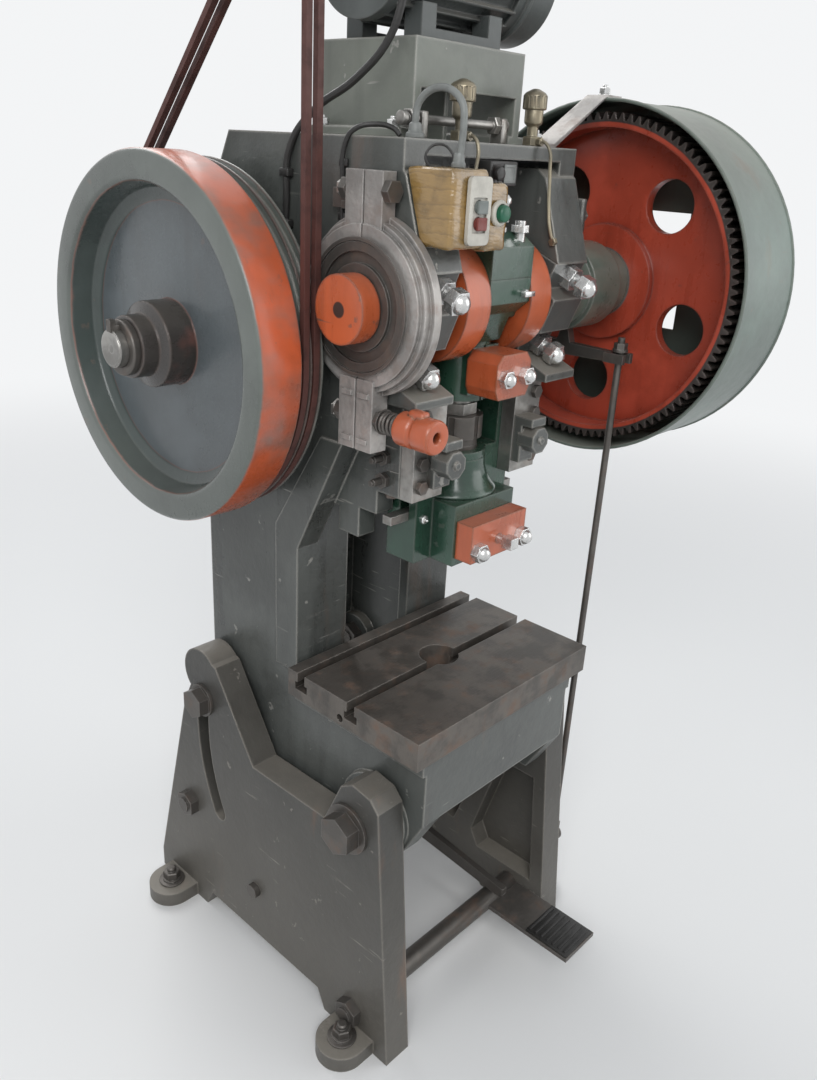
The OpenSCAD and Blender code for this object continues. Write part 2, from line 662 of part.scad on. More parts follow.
// Back shaft, flywheel and gears
module shaft_bearings() color([0.34, 0.36, 0.34]) at_shaft() both() difference() {
    union() {
        rod_x(72, cheek_out, cheek_out + 14);
        rod_x(50, cheek_out, cheek_out + 34);
        for (a = [45:90:315]) translate([0, 60 * cos(a), 60 * sin(a)]) rotate([0, 90, 0])
            translate([0, 0, cheek_out + 13]) hex(17, 0, 9);
    }
    rod_x(shaft_d / 2 + fit_gap, cheek_out - lap, cheek_out + 35);
}
module back_shaft() color([0.55, 0.54, 0.52]) at_shaft() {
    rod_x(shaft_d / 2, -fly_x - 58, gear_x + face_w + 16);
    rod_x(shaft_d / 2 + 8, -cheek_in + run_gap, -cheek_in + 12);
    rod_x(shaft_d / 2 + 7, gear_x + face_w + 4, gear_x + face_w + 14);
}
module pinion() color([0.30, 0.28, 0.27]) at_shaft() difference() {
    union() {
        plate_x(gear_x - 2, gear_x + face_w + 2)
            gear_outline(gear_m, pinion_n, 0.5, mesh_a + 180 + 180 / pinion_n);
        rod_x(shaft_d / 2 + 14, gear_x - 32, gear_x);
    }
    rod_x(shaft_d / 2 + 0.02, gear_x - 40, gear_x + face_w + 4);
}
// Solid-web flywheel: a flush outer ring, a deep recess, and two belt grooves inboard
module flywheel() color([0.72, 0.27, 0.14]) at_shaft() translate([-fly_x, 0, 0])
    rotate([0, 90, 0]) rotate_extrude() polygon(fly_profile);
fly_profile = let (b = shaft_d / 2 + 0.02, r = fly_r, w = rim_w, ring = 0.84 * fly_r,
    g = fly_belt_r - belt_t / 2 - run_gap, h = fly_r - 7,
    c1 = fly_x - belt_x - belt_gap / 2, c2 = c1 + belt_gap)
    [[b, -34], [46, -34], [46, -6], [64, 0], [64, 46], [ring - 22, 46], [ring - 6, 40], [ring, 4],
    [ring + 5, 0], [r - 4, 0], [r, 4], [r, c1 - 14], [h, c1 - 11], [h, c1 - 8], [g, c1 - 6], [g, c1 + 6],
    [h, c1 + 8], [h, c2 - 8], [g, c2 - 6], [g, c2 + 6], [h, c2 + 8], [h, w], [ring + 8, w],
    [ring - 4, 72], [70, 68], [60, w + 6], [b, w + 6]];
module bull_gear() color([0.60, 0.18, 0.14]) at_crank() difference() {
    union() {
        plate_x(gear_x, gear_x + face_w)
            gear_outline(gear_m, gear_n, 0.5, mesh_a);
        rod_x(hub_flange_r, gear_x + 36, gear_x + face_w);
        rod_x(70, gear_x + 36, gear_x + face_w + 24);
    }
    // Deep web between the rim and the hub on both faces
    for (x = [[gear_x - lap, web_x0], [web_x0 + web_t, gear_x + face_w + lap]])
        difference() {
            rod_x(gear_pr - 18, x[0], x[1]);
            rod_x(hub_flange_r, gear_x - 2, gear_x + face_w + 30);
        }
    rod_x(hub_flange_r + 8, gear_x - lap, gear_x + 36);
    for (k = [0:4]) rotate([129 + 72 * k, 0, 0]) translate([0, web_hole_r, 0])
        rod_x(web_hole_d / 2, gear_x, gear_x + face_w);
    rod_x(gear_shaft_d / 2 + 0.06, gear_x, gear_x + face_w + 30);
}

// Crankshaft group

// The two halves of the shaft, each with its round cheek; the pin sits between the cheeks
module crankshaft() color([0.74, 0.28, 0.14]) at_crank() {
    rod_x(46, -crank_left, -drum_x - drum_w - 2);
    difference() {
        rod_x(journal_d / 2, -drum_x - drum_w - 3, -web_in);
        rod_x(9, -crank_left - lap, -crank_left + 12);
    }
    rod_x(web_d / 2, -web_out, -web_in);
    rod_x(web_d / 2, web_in, web_out);
    rod_x(journal_d / 2, web_in, cheek_out + 8);
    rod_x(gear_shaft_d / 2, cheek_out, crank_right - 20);
    rod_x(22, crank_right - 21, crank_right);
    translate([gear_x + face_w + 25, 0, 0]) rotate([0, 90, 0]) hex(110, 0, 9);
}
module brake_drum() color([0.32, 0.29, 0.27]) at_crank() difference() {
    rod_x(drum_r, -drum_x - drum_w, -drum_x);
    rod_x(journal_d / 2 + 0.02, -drum_x - drum_w - lap, 0);
    difference() {
        rod_x(drum_r - 12, -drum_x - drum_w - lap, -drum_x - drum_w + 5);
        rod_x(58, -drum_x - drum_w - 2, 0);
    }
}
// Clutch driver on the crankshaft, with the stop notch for the trip lever in its rim
module clutch_collar() color([0.36, 0.45, 0.40]) at_crank() difference() {
    union() {
        rod_x(collar_r - 8, cheek_out + run_gap, gear_x - 90);
        rod_x(collar_r, gear_x - 91, gear_x - 14);
        rod_x(collar_r - 14, gear_x - 15, gear_x + 35.7);
    }
    rod_x(journal_d / 2 + 0.1, cheek_out, cheek_out + 8);
    rod_x(gear_shaft_d / 2 + 0.02, cheek_out, gear_x + 40);
    box(trip_x - 10, trip_x + 10, -10, 10, -collar_r - lap, -collar_r + 12);
}

// Connecting rod group, moving with the ram
rod_seat = pin_d / 2 + 9;
module connecting_rod() color([0.13, 0.26, 0.20]) at_crank() difference() {
    union() {
        plate_x(-rod_w / 2, rod_w / 2) polygon([[-rod_depth / 2, pin_z], [rod_depth / 2, pin_z],
            [rod_depth / 2, pin_z - 34], [62, pin_z - 52], [45, -60], [-45, -60],
            [-62, pin_z - 52], [-rod_depth / 2, pin_z - 34]]);
        rod_z(45, rod_low, -30);
        box(-33, 33, -clamp_back + run_gap, 0, rod_low + 12, -66);
    }
    translate([0, 0, pin_z]) rod_x(rod_seat, -rod_w, rod_w);
    rod_z(screw_d / 2 + 0.1, rod_low - lap, -44);
    both() box(rod_w / 2 - 12, rod_w, -100, 100, -61, pin_z - 60);
    rod_bolt_holes(pin_z - 36, pin_z + lap);
    clamp_bolt_holes(-clamp_back - lap, -20);
    box(-2, 2, -clamp_back - lap, -20, rod_low - lap, -66);
}
module rod_bolt_holes(z0, z1) for (x = [-1, 1], y = [-1, 1])
    translate([x * 30, y * (rod_depth / 2 - 16), 0]) rod_z(8 + fit_gap, z0, z1);
module clamp_bolt_holes(y0, y1) for (x = [-1, 1]) translate([x * 24, 0, clamp_bolt_z])
    rod_y(7 + fit_gap, y0, y1);
clamp_bolt_z = -102;
// Upper half of the big end: a block with chamfered corners
module rod_cap() color([0.13, 0.26, 0.20]) at_crank() difference() {
    plate_x(-rod_w / 2, rod_w / 2) polygon([[-rod_depth / 2, pin_z], [rod_depth / 2, pin_z],
        [rod_depth / 2, pin_z + 44], [rod_depth / 2 - 26, pin_z + 62],
        [-rod_depth / 2 + 26, pin_z + 62], [-rod_depth / 2, pin_z + 44]]);
    translate([0, 0, pin_z]) rod_x(rod_seat, -rod_w, rod_w);
    rod_bolt_holes(pin_z - lap, pin_z + 80);
}
// Crank pin with its bronze shells; it faces both crank cheeks across a running gap
module crank_pin() color([0.60, 0.52, 0.34]) at_crank() translate([0, 0, pin_z])
    rod_x(rod_seat - fit_gap, -rod_w / 2, rod_w / 2);
module rod_studs() color([0.72, 0.72, 0.74]) at_crank() {
    for (x = [-1, 1], y = [-1, 1]) translate([x * 30, y * (rod_depth / 2 - 16), 0]) {
        rod_z(8, pin_z - 35, pin_z + 52);
        hex(22, pin_z + 62, pin_z + 72);
        rod_z(8, pin_z + 51, pin_z + 78);
    }
    for (x = [-1, 1]) translate([x * 24, 0, clamp_bolt_z]) {
        rod_y(7, -clamp_front - lap, -21);
        translate([0, -clamp_front, 0]) rotate([90, 0, 0]) dome_nut(15, 0);
    }
}
// Clamp block that locks the ball screw in the rod
module rod_clamp() color([0.76, 0.29, 0.14]) at_crank() difference() {
    plate_y(-clamp_front, -clamp_back) polygon([[-33, -134], [33, -134], [40, -120], [40, -82],
        [28, -68], [-28, -68], [-40, -82], [-40, -120]]);
    clamp_bolt_holes(-clamp_front - lap, -clamp_back + lap);
    rod_z(45 + run_gap, -200, 0);
}
module rod_oiler() color([0.75, 0.76, 0.76]) at_crank() translate([0, -58, pin_z + 62]) {
    hex(14, 0, 7);
    rod_z(5, 6, 14);
    rod_z(9, 13, 44);
    rod_z(11, 40, 47);
    rod_z(3, 46, 54);
}

// Ram group
module ram_body() {
    // Lower block, round boss, and the guide ribs that rise beside the rod
    box(-72, 72, -shank_face, 60, ram_bot, ram_bot + 100);
    rod_z(50, ram_bot + 90, ram_boss_z);
    box(-ram_half, ram_half, -flange_front, flange_back, ram_bot, ram_boss_z - 4);
    both() box(76, ram_half, -flange_front, flange_back, ram_bot, guide_top + 6);
    // Flared neck between the boss and the block
    for (k = [0:3]) rod_z(54 + 5 * k, ram_bot + 90, ram_bot + 128 - 9 * k);
}
module ram() color([0.11, 0.23, 0.17]) at_crank() difference() {
    ram_body();
    // Cup for the ball and the bore for the gland nut
    translate([0, 0, ball_z]) sphere(r = ball_d / 2 + 0.1);
    rod_z(gland_r + 0.1, ball_z, ram_boss_z + lap);
    // Knock-out slot from side to side, and the hole down to the shank
    box(-ram_half - lap, ram_half + lap, -bar_half - 0.5, bar_half + 0.5, bar_z,
        bar_z + bar_h + bar_lift + 1);
    rod_z(9, ram_bot + shank_depth - lap, bar_z + lap);
    rod_z(shank_d / 2, ram_bot - lap, ram_bot + shank_depth);
    // Recess for the tongue of the shank clamp
    box(-40.2, 40.2, -shank_face - lap, 0, ram_bot - lap, bar_z - 5.8);
    for (x = [-1, 1]) translate([x * 54, 0, ram_bot + 32]) rod_y(8 + fit_gap, -shank_face - lap, -30);
}
gland_r = 36;
// Nut that holds the ball down, with a wide collar and spanner slots
module gland_nut() color([0.20, 0.19, 0.18]) at_crank() difference() {
    union() {
        rod_z(gland_r, ball_z + 8, ram_boss_z + 6);
        rod_z(35, ram_boss_z, ram_boss_z + 18);
        rod_z(42, ram_boss_z + 18.5, ram_boss_z + 54);
        rod_z(35, ram_boss_z + 17, ram_boss_z + 20);
    }
    rod_z(screw_d / 2 - 6 + 1.5, ball_z, ram_boss_z + 60);
    translate([0, 0, ball_z]) sphere(r = ball_d / 2 + 0.1);
    for (k = [0:5]) rotate(30 + 60 * k) box(38, 50, -5, 5, ram_boss_z + 17, ram_boss_z + 60);
}
module ball_screw() color([0.62, 0.62, 0.60]) at_crank() {
    translate([0, 0, ball_z]) sphere(r = ball_d / 2);
    rod_z(screw_d / 2 - 6, ball_z, ram_boss_z + 58);
    hex(54, ram_boss_z + 54.5, ram_boss_z + 72);
    rod_z(screw_d / 2, ram_boss_z + 71, -82);
}
// Clamp block for the tool shank, with its tongue in the ram
module shank_clamp() color([0.78, 0.30, 0.14]) at_crank() difference() {
    union() {
        box(-67, 67, -shank_front, -shank_face - run_gap, ram_bot + 13, ram_bot + 75);
        box(-40, 40, -shank_face - lap, -run_gap, ram_bot + 0.5,
            bar_z - 6);
    }
    rod_z(shank_d / 2, ram_bot - lap, ram_bot + shank_depth);
    for (x = [-1, 1]) translate([x * 54, 0, ram_bot + 32])
        rod_y(8 + fit_gap, -shank_front - lap, -shank_face);
    translate([0, 0, ram_bot + 40]) rod_y(8 + fit_gap, -shank_front - lap, -shank_d / 2);
}
module shank_studs() color([0.72, 0.72, 0.74]) at_crank() {
    for (x = [-1, 1]) translate([x * 54, 0, ram_bot + 32]) {
        rod_y(8, -shank_front - 4, -31);
        translate([0, -shank_front, 0]) rotate([90, 0, 0]) dome_nut(17, 0);
    }
    translate([0, 0, ram_bot + 40]) {
        rod_y(8, -shank_front - 14, -shank_d / 2 - 4);
        box(-9, 9, -shank_front - 32, -shank_front - 13, -9, 9);
    }
}
module knockout_bar() color([0.40, 0.38, 0.36]) at_crank()
    box(-cheek_in + 2, cheek_in - 2, -bar_half, bar_half, bar_z + run_gap, bar_z + bar_h);

// Motor and belts
module motor_bracket() color([0.28, 0.32, 0.29]) at_crank() {
    y0 = motor_back - 90;
    y1 = motor_back + 90;
    difference() {
        union() {
            for (x = [-112, 108]) box(x, x + 14, y0, y1, head_up, bracket_top);
            box(-112, 122, y0, y0 + 12, bracket_top - 60, bracket_top);
            box(-112, 122, y0, y1, bracket_top - 16, bracket_top);
            both() box(98, 135, y0, y1, head_up, head_up + 12);
        }
        for (x = [-70, 70]) box(x - 6, x + 6, y0 + 20, y1 - 20, bracket_top - 20, bracket_top + lap);
    }
    box(-4, 4, y0 + 40, y1 - 60, head_up, bracket_top - 15);
}
module motor() color([0.33, 0.37, 0.36]) at_motor() {
    r = motor_d / 2;
    rod_x(r - 9, -128, 132);
    for (k = [0:23]) rotate([15 * k + 7.5, 0, 0]) box(-115, 117, -1.6, 1.6, r - 16, r - 0.4);
    for (x = [-130, 112]) rod_x(r - 2, x, x + 20);
    rod_x(r + 1, 130, 188);
    rod_x(34, -140, -128);
    rod_x(14, -belt_x - 30, -128);
    for (s = [-1, 1], x = [-84, 56]) box(x, x + 28, s > 0 ? 40 : -72, s > 0 ? 72 : -40, -r - 17,
        -r + 26);
    for (s = [-1, 1]) box(-84, 84, s > 0 ? 48 : -72, s > 0 ? 72 : -48, -r - 17, -r - 3);
    box(-42, 42, -40, 40, r - 30, r + 2);
}
module terminal_box() color([0.30, 0.34, 0.33]) at_motor() {
    r = motor_d / 2;
    box(-40, 40, -38, 38, r + 2, r + 39);
    box(-44, 44, -42, 42, r + 38, r + 44);
    translate([20, 0, r + 18]) rod_y(11, -56, -38);
}
// Two V-belts side by side, from the flywheel's grooves up to the motor pulley
module drive_belts() color([0.35, 0.14, 0.10]) at_shaft() for (s = [-1, 1]) {
    p = [motor_back - shaft_dy, motor_up + shaft_drop];
    x = -belt_x + s * belt_gap / 2;
    plate_x(x - belt_w / 2, x + belt_w / 2) difference() {
        belt_outline(p, fly_belt_r + belt_t / 2, pulley_r + belt_t / 2);
        belt_outline(p, fly_belt_r - belt_t / 2, pulley_r - belt_t / 2);
    }
}
module motor_pulley() color([0.40, 0.38, 0.36]) at_motor() difference() {
    rod_x(pulley_r + 6, -belt_x - 22, -belt_x + 22);
    for (s = [-1, 1]) translate([-belt_x + s * belt_gap / 2, 0, 0]) difference() {
        rod_x(pulley_r + 20, -7, 7);
        rod_x(pulley_r - belt_t / 2 - run_gap, -8, 8);
    }
    rod_x(14.3, -belt_x - 30, -belt_x + 30);
}

// Electrical boxes and fittings on the head
module switch_box() color([0.80, 0.76, 0.55]) at_crank() difference() {
    plate_x(box_x0, box_x1) polygon([[-box_front, box_z0], [-box_front, box_z1],
        [slope_front(box_z1), box_z1], [slope_front(box_z0), box_z0]]);
    for (z = plate_zs) translate([plate_x_mid, 0, z]) rod_y(8.3, -box_front - lap, -box_front + 5);
}
// Cover plate with a recessed panel for two buttons
module switch_plate() color([0.82, 0.82, 0.80]) at_crank() difference() {
    box(box_x0 + 26, box_x1 - 4, -box_front - 7, -box_front, box_z0 + 6, box_z1 - 8);
    box(box_x0 + 34, box_x1 - 12, -box_front - 8, -box_front - 3, box_z0 + 20, box_z1 - 34);
    for (z = plate_zs) translate([plate_x_mid, 0, z]) rod_y(8.3, -box_front - lap - 4, -box_front + lap);
}
plate_x_mid = (box_x0 + box_x1) / 2 + 11;
plate_zs = [box_z0 + 32, box_z0 + 52];
module start_button() color([0.45, 0.47, 0.45]) at_crank() translate([plate_x_mid, 0, plate_zs[1]])
    rod_y(8, -box_front - 11, -box_front - run_gap);
module stop_button() color([0.60, 0.22, 0.18]) at_crank() translate([plate_x_mid, 0, plate_zs[0]])
    rod_y(8, -box_front - 11, -box_front - run_gap);
module button_box() color([0.78, 0.76, 0.62]) at_crank() {
    difference() {
        box(box_x1, box_x1 + 46, -button_front, -web_d / 2 - 4, box_z0 - 4, box_z1 - 16);
        translate([box_x1 + 23, 0, inch_z]) rod_y(11.3, -button_front - lap, -button_front + 5);
    }
    translate([box_x1 + 23, 0, inch_z]) difference() {
        rod_y(15, -button_front - 7, -button_front + 0.5);
        rod_y(11.3, -button_front - 8, -button_front + 5);
    }
}
inch_z = box_z0 + 44;
module inch_button() color([0.12, 0.45, 0.28]) at_crank() translate([box_x1 + 23, 0, inch_z])
    rod_y(11, -button_front - 15, -button_front - run_gap);
module limit_switch() color([0.55, 0.58, 0.56]) at_crank() {
    box(-46, 18, -head_front - 24, -head_front + 6, head_up - 56, head_up - 20);
    translate([-30, 0, head_up - 38]) rod_y(7, -head_front - 32, -head_front - 22);
}
// Grease cups on the head, each with a pipe down to its bearing
module grease_cups() color([0.55, 0.52, 0.42]) at_crank() for (x = [-62, 100])
    translate([x, -22, head_up]) {
        hex(24, 0, 14);
        rod_z(7, 13, 30);
        rod_z(13, 29, 52);
        rod_z(17, 48, 70);
        rod_z(12, 69, 75);
    }
// Armoured lead from the head down into the switch box
module conduit() color([0.62, 0.62, 0.58]) at_crank() tube(concat(
    [[-160, -30, head_up + 0.2], [-160, -30, head_up + 26]],
    [for (a = [20:20:160]) [-160, -30 - 40 * (1 - cos(a)), head_up + 26 + 34 * sin(a)]],
    [[-160, -110, head_up + 18], [-160, -108, head_up - 6], [-160, -106, box_z1 + 0.2]]), 6, 8,
    [1, 0, 0]);

// Clutch trip gear and treadle
module latch_bracket() color([0.32, 0.34, 0.32]) at_crank() {
    box(cheek_out, cheek_out + 12, 40, 130, trip_z - 40, trip_z + 30);
    box(cheek_out + 11, trip_x - 14, 78, 92, trip_z - 26, trip_z + 16);
    translate([0, trip_pivot_y, trip_z]) rod_x(7, trip_x - 26, trip_x + 12);
    plate_x(trip_x - 26, trip_x - 14) polygon([[trip_pivot_y - 14, trip_z - 14], [92, trip_z - 26],
        [92, trip_z + 16], [trip_pivot_y - 14, trip_z + 14]]);
}
// Lever with a nose for the clutch notch and an open fork round the pull rod
module trip_lever() color([0.42, 0.40, 0.37]) at_crank() difference() {
    union() {
        translate([0, trip_pivot_y, trip_z]) rod_x(15, trip_x - 8, trip_x + 8);
        plate_x(trip_x - 8, trip_x + 8) polygon([[trip_pivot_y, trip_z - 13], [pull_y, trip_z - 8],
            [pull_y, trip_z + 8], [-14, trip_z + 10], [-7, -collar_r - 0.6], [7, -collar_r - 0.6],
            [14, trip_z + 12], [trip_pivot_y, trip_z + 13]]);
        box(trip_x - 16, trip_x + 16, pull_y - 16, pull_y + 22, trip_z - 8, trip_z + 8);
    }
    translate([0, trip_pivot_y, trip_z]) rod_x(7 + fit_gap, trip_x - 20, trip_x + 20);
    translate([trip_x, pull_y + 5, 0]) rod_z(7.5, trip_z - 20, trip_z + 20);
    box(trip_x - 7.5, trip_x + 7.5, pull_y - 20, pull_y + 5, trip_z - 20, trip_z + 20);
}
pull_top = crank_h + trip_z + 34;
pull_low = treadle_h + 45;
module pull_rod() color([0.45, 0.42, 0.38]) at_ram() translate([trip_x, pull_y, 0]) {
    rod_z(6, pull_low, pull_top);
    rod_z(13, crank_h + trip_z + 10.6, crank_h + trip_z + 15);
    hex(20, crank_h + trip_z + 14, crank_h + trip_z + 25);
    box(-5, 5, -11, 11, pull_low - 19, pull_low + lap);
    // Eye with a short slot for the pin of the treadle arm
    translate([0, 0, pull_low - 30]) difference() {
        rod_x(18, -5, 5);
        for (y = [-1.2, 1.2]) translate([0, y, 0]) rod_x(8.4, -6, 6);
        box(-6, 6, -1.2, 1.2, -8.4, 8.4);
    }
}
// Treadle: cross shaft in the legs, pedal arm inside, pull arm outside the right leg
module treadle() color([0.36, 0.33, 0.30]) at_ram() {
    pull_z = pull_low - 30;
    translate([0, treadle_y, treadle_h]) {
        rod_x(14, -leg_out - 12, trip_x + 8);
        rod_x(22, 96, 128);
    }
    plate_x(105, 119) polygon([[treadle_y - 20, treadle_h + 16], [treadle_y - 20, treadle_h - 16],
        [-120, treadle_h - 42], [-120, treadle_h - 20]]);
    box(66, 158, -300, -118, treadle_h - 42, treadle_h - 34);
    translate([0, treadle_y, treadle_h]) rod_x(22, leg_out + 10, trip_x - 6);
    plate_x(trip_x - 6 - treadle_arm_t, trip_x - 6) polygon([[treadle_y - 15, treadle_h + 18],
        [pull_y - 16, pull_z + 14], [pull_y - 16, pull_z - 14], [treadle_y - 15, treadle_h - 18]]);
    translate([0, pull_y, pull_z]) rod_x(8, trip_x - 7, trip_x + 9);
}

left_leg();
right_leg();
tie_rods();
frame_casting();
pivot_bolts();
clamp_bolts();
bearing_caps();
cap_studs();
main_bushes();
bolster_plate();
bolster_bolts();
gibs();
adjusting_screws();
guide_brackets();
gear_guard();
guard_straps();
brake_rear_shoe();
brake_front_shoe();
brake_bolts();
brake_spring();
brake_sleeve();
shaft_bearings();
motor_bracket();
motor();
terminal_box();
drive_belts();
switch_box();
switch_plate();
button_box();
grease_cups();
conduit();
limit_switch();
latch_bracket();
crankshaft();
brake_drum();
clutch_collar();
connecting_rod();
rod_cap();
crank_pin();
rod_studs();
rod_clamp();
rod_oiler();
ram();
gland_nut();
shank_clamp();
shank_studs();
ball_screw();
knockout_bar();
flywheel();
back_shaft();
pinion();
bull_gear();
motor_pulley();
treadle();
pull_rod();
trip_lever();
start_button();
stop_button();
inch_button();
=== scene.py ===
"""Looks of a geared, inclinable crank press: finishes, fine parts, stage and camera.

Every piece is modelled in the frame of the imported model. The floor is at z = 0, the operator
stands at -Y, the gears are at +X and the flywheel at -X. Sizes are in millimetres from an
anchor, such as the crankshaft's centre, as in the part's source.
"""

import logging
import math
from dataclasses import dataclass
from enum import Enum
from functools import cached_property
from typing import Callable, Dict, List, Optional, Sequence, Tuple

import bmesh
import bpy
from mathutils import Matrix, Vector, noise


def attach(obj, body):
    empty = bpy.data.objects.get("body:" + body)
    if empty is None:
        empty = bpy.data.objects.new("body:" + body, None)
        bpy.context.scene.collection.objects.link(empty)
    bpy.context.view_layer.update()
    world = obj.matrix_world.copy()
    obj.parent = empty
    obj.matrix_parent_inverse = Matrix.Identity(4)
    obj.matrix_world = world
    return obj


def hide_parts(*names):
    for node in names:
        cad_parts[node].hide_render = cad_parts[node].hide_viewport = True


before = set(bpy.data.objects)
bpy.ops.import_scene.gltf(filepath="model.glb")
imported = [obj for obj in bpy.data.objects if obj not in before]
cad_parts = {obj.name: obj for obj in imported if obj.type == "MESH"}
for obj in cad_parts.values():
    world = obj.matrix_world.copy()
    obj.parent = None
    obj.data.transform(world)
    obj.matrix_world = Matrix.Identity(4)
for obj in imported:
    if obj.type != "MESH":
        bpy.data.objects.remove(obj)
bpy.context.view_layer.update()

log = logging.getLogger("press")
Colour = Tuple[float, float, float]
Point = Tuple[float, float, float]
Profile = Sequence[Tuple[float, float]]
Test = Callable[[Vector, Vector], bool]

# Sides of the photograph in pixels; the long one spans the camera's sensor, in millimetres
PHOTO_SIDES = (817, 1080)
SENSOR = 36.0

MM = 0.001
# Corners of a mesh that are closer than this, in metres, are one
SAME_PLACE = 1e-6
# Edges that bend more than SHARP degrees are rounded, and faces that bend less than SMOOTH are
# shaded as one surface
SHARP = 30.0
SMOOTH = 35.0
# Samples of the shader nodes that look at the surroundings
LOOKS = 4
# Numbers of the Mix node's colour sockets
MIX_FACTOR, MIX_FIRST, MIX_SECOND, MIX_RESULT = 0, 6, 7, 2
# What settles on the press; the grease colour also paints shade in corners
PAINT_RUST: Colour = (0.17, 0.075, 0.035)
METAL_RUST: Colour = (0.19, 0.085, 0.04)
GREASE_AND_CORNER_SHADE: Colour = (0.025, 0.022, 0.018)
SHOP_DUST: Colour = (0.36, 0.33, 0.28)
# Colour of the backdrop, and the rays that see it
BACKDROP: Colour = (0.90, 0.91, 0.92)
SEEN_RAYS = ("Is Camera Ray", "Is Glossy Ray", "Is Transmission Ray")
# Anchors in metres: crankshaft, back shaft and motor axes, and the floor under the ram
CRANK: Point = (0.0, -0.182, 1.270)
SHAFT: Point = (0.0, 0.13809, 1.180)
MOTOR: Point = (0.0, -0.072, 1.710)
FLOOR: Point = (0.0, -0.182, 0.0)
# Turns that lay the Z axis of a turned shape along X, Y or Z
TURN = {"x": Matrix.Rotation(math.pi / 2, 4, "Y"), "y": Matrix.Rotation(-math.pi / 2, 4, "X"),
        "z": Matrix.Identity(4)}


class Sock:
    """A shader socket that takes part in Python arithmetic.

    Args:
        tree: The material's tree builder.
        socket: The output socket that this object stands for.
    """

    def __init__(self, tree: "Tree", socket: bpy.types.NodeSocket) -> None:
        """Keep the builder and the socket."""
        self.tree = tree
        self.socket = socket

    def _math(self, kind: str, a: object, b: object = None) -> "Sock":
        """Add one Math node.

        Args:
            kind: The node's operation.
            a: First value or socket.
            b: Second value or socket, if the operation has one.

        Returns:
            The node's result.
        """
        values = {0: a} if b is None else {0: a, 1: b}
        return self.tree.node("Math", {"operation": kind}, values)

    def __add__(self, other: object) -> "Sock":
        """Return the sum."""
        return self._math("ADD", self, other)

    def __sub__(self, other: object) -> "Sock":
        """Return the difference."""
        return self._math("SUBTRACT", self, other)

    def __rsub__(self, other: object) -> "Sock":
        """Return the difference with this socket on the right."""
        return self._math("SUBTRACT", other, self)

    def __mul__(self, other: object) -> "Sock":
        """Return the product."""
        return self._math("MULTIPLY", self, other)

    def top(self, other: object) -> "Sock":
        """Return the larger of the two."""
        return self._math("MAXIMUM", self, other)

    def wave(self) -> "Sock":
        """Return the sine of this socket."""
        return self._math("SINE", self)

    def clip(self) -> "Sock":
        """Return the value held between 0 and 1."""
        return self.tree.node("Clamp", {}, {0: self})

    def step(self, low: float, high: float) -> "Sock":
        """Return a smooth step from 0 at low to 1 at high."""
        return self.tree.node("MapRange", {"interpolation_type": "SMOOTHSTEP"},
                              {0: self, 1: low, 2: high})

    __radd__ = __add__
    __rmul__ = __mul__


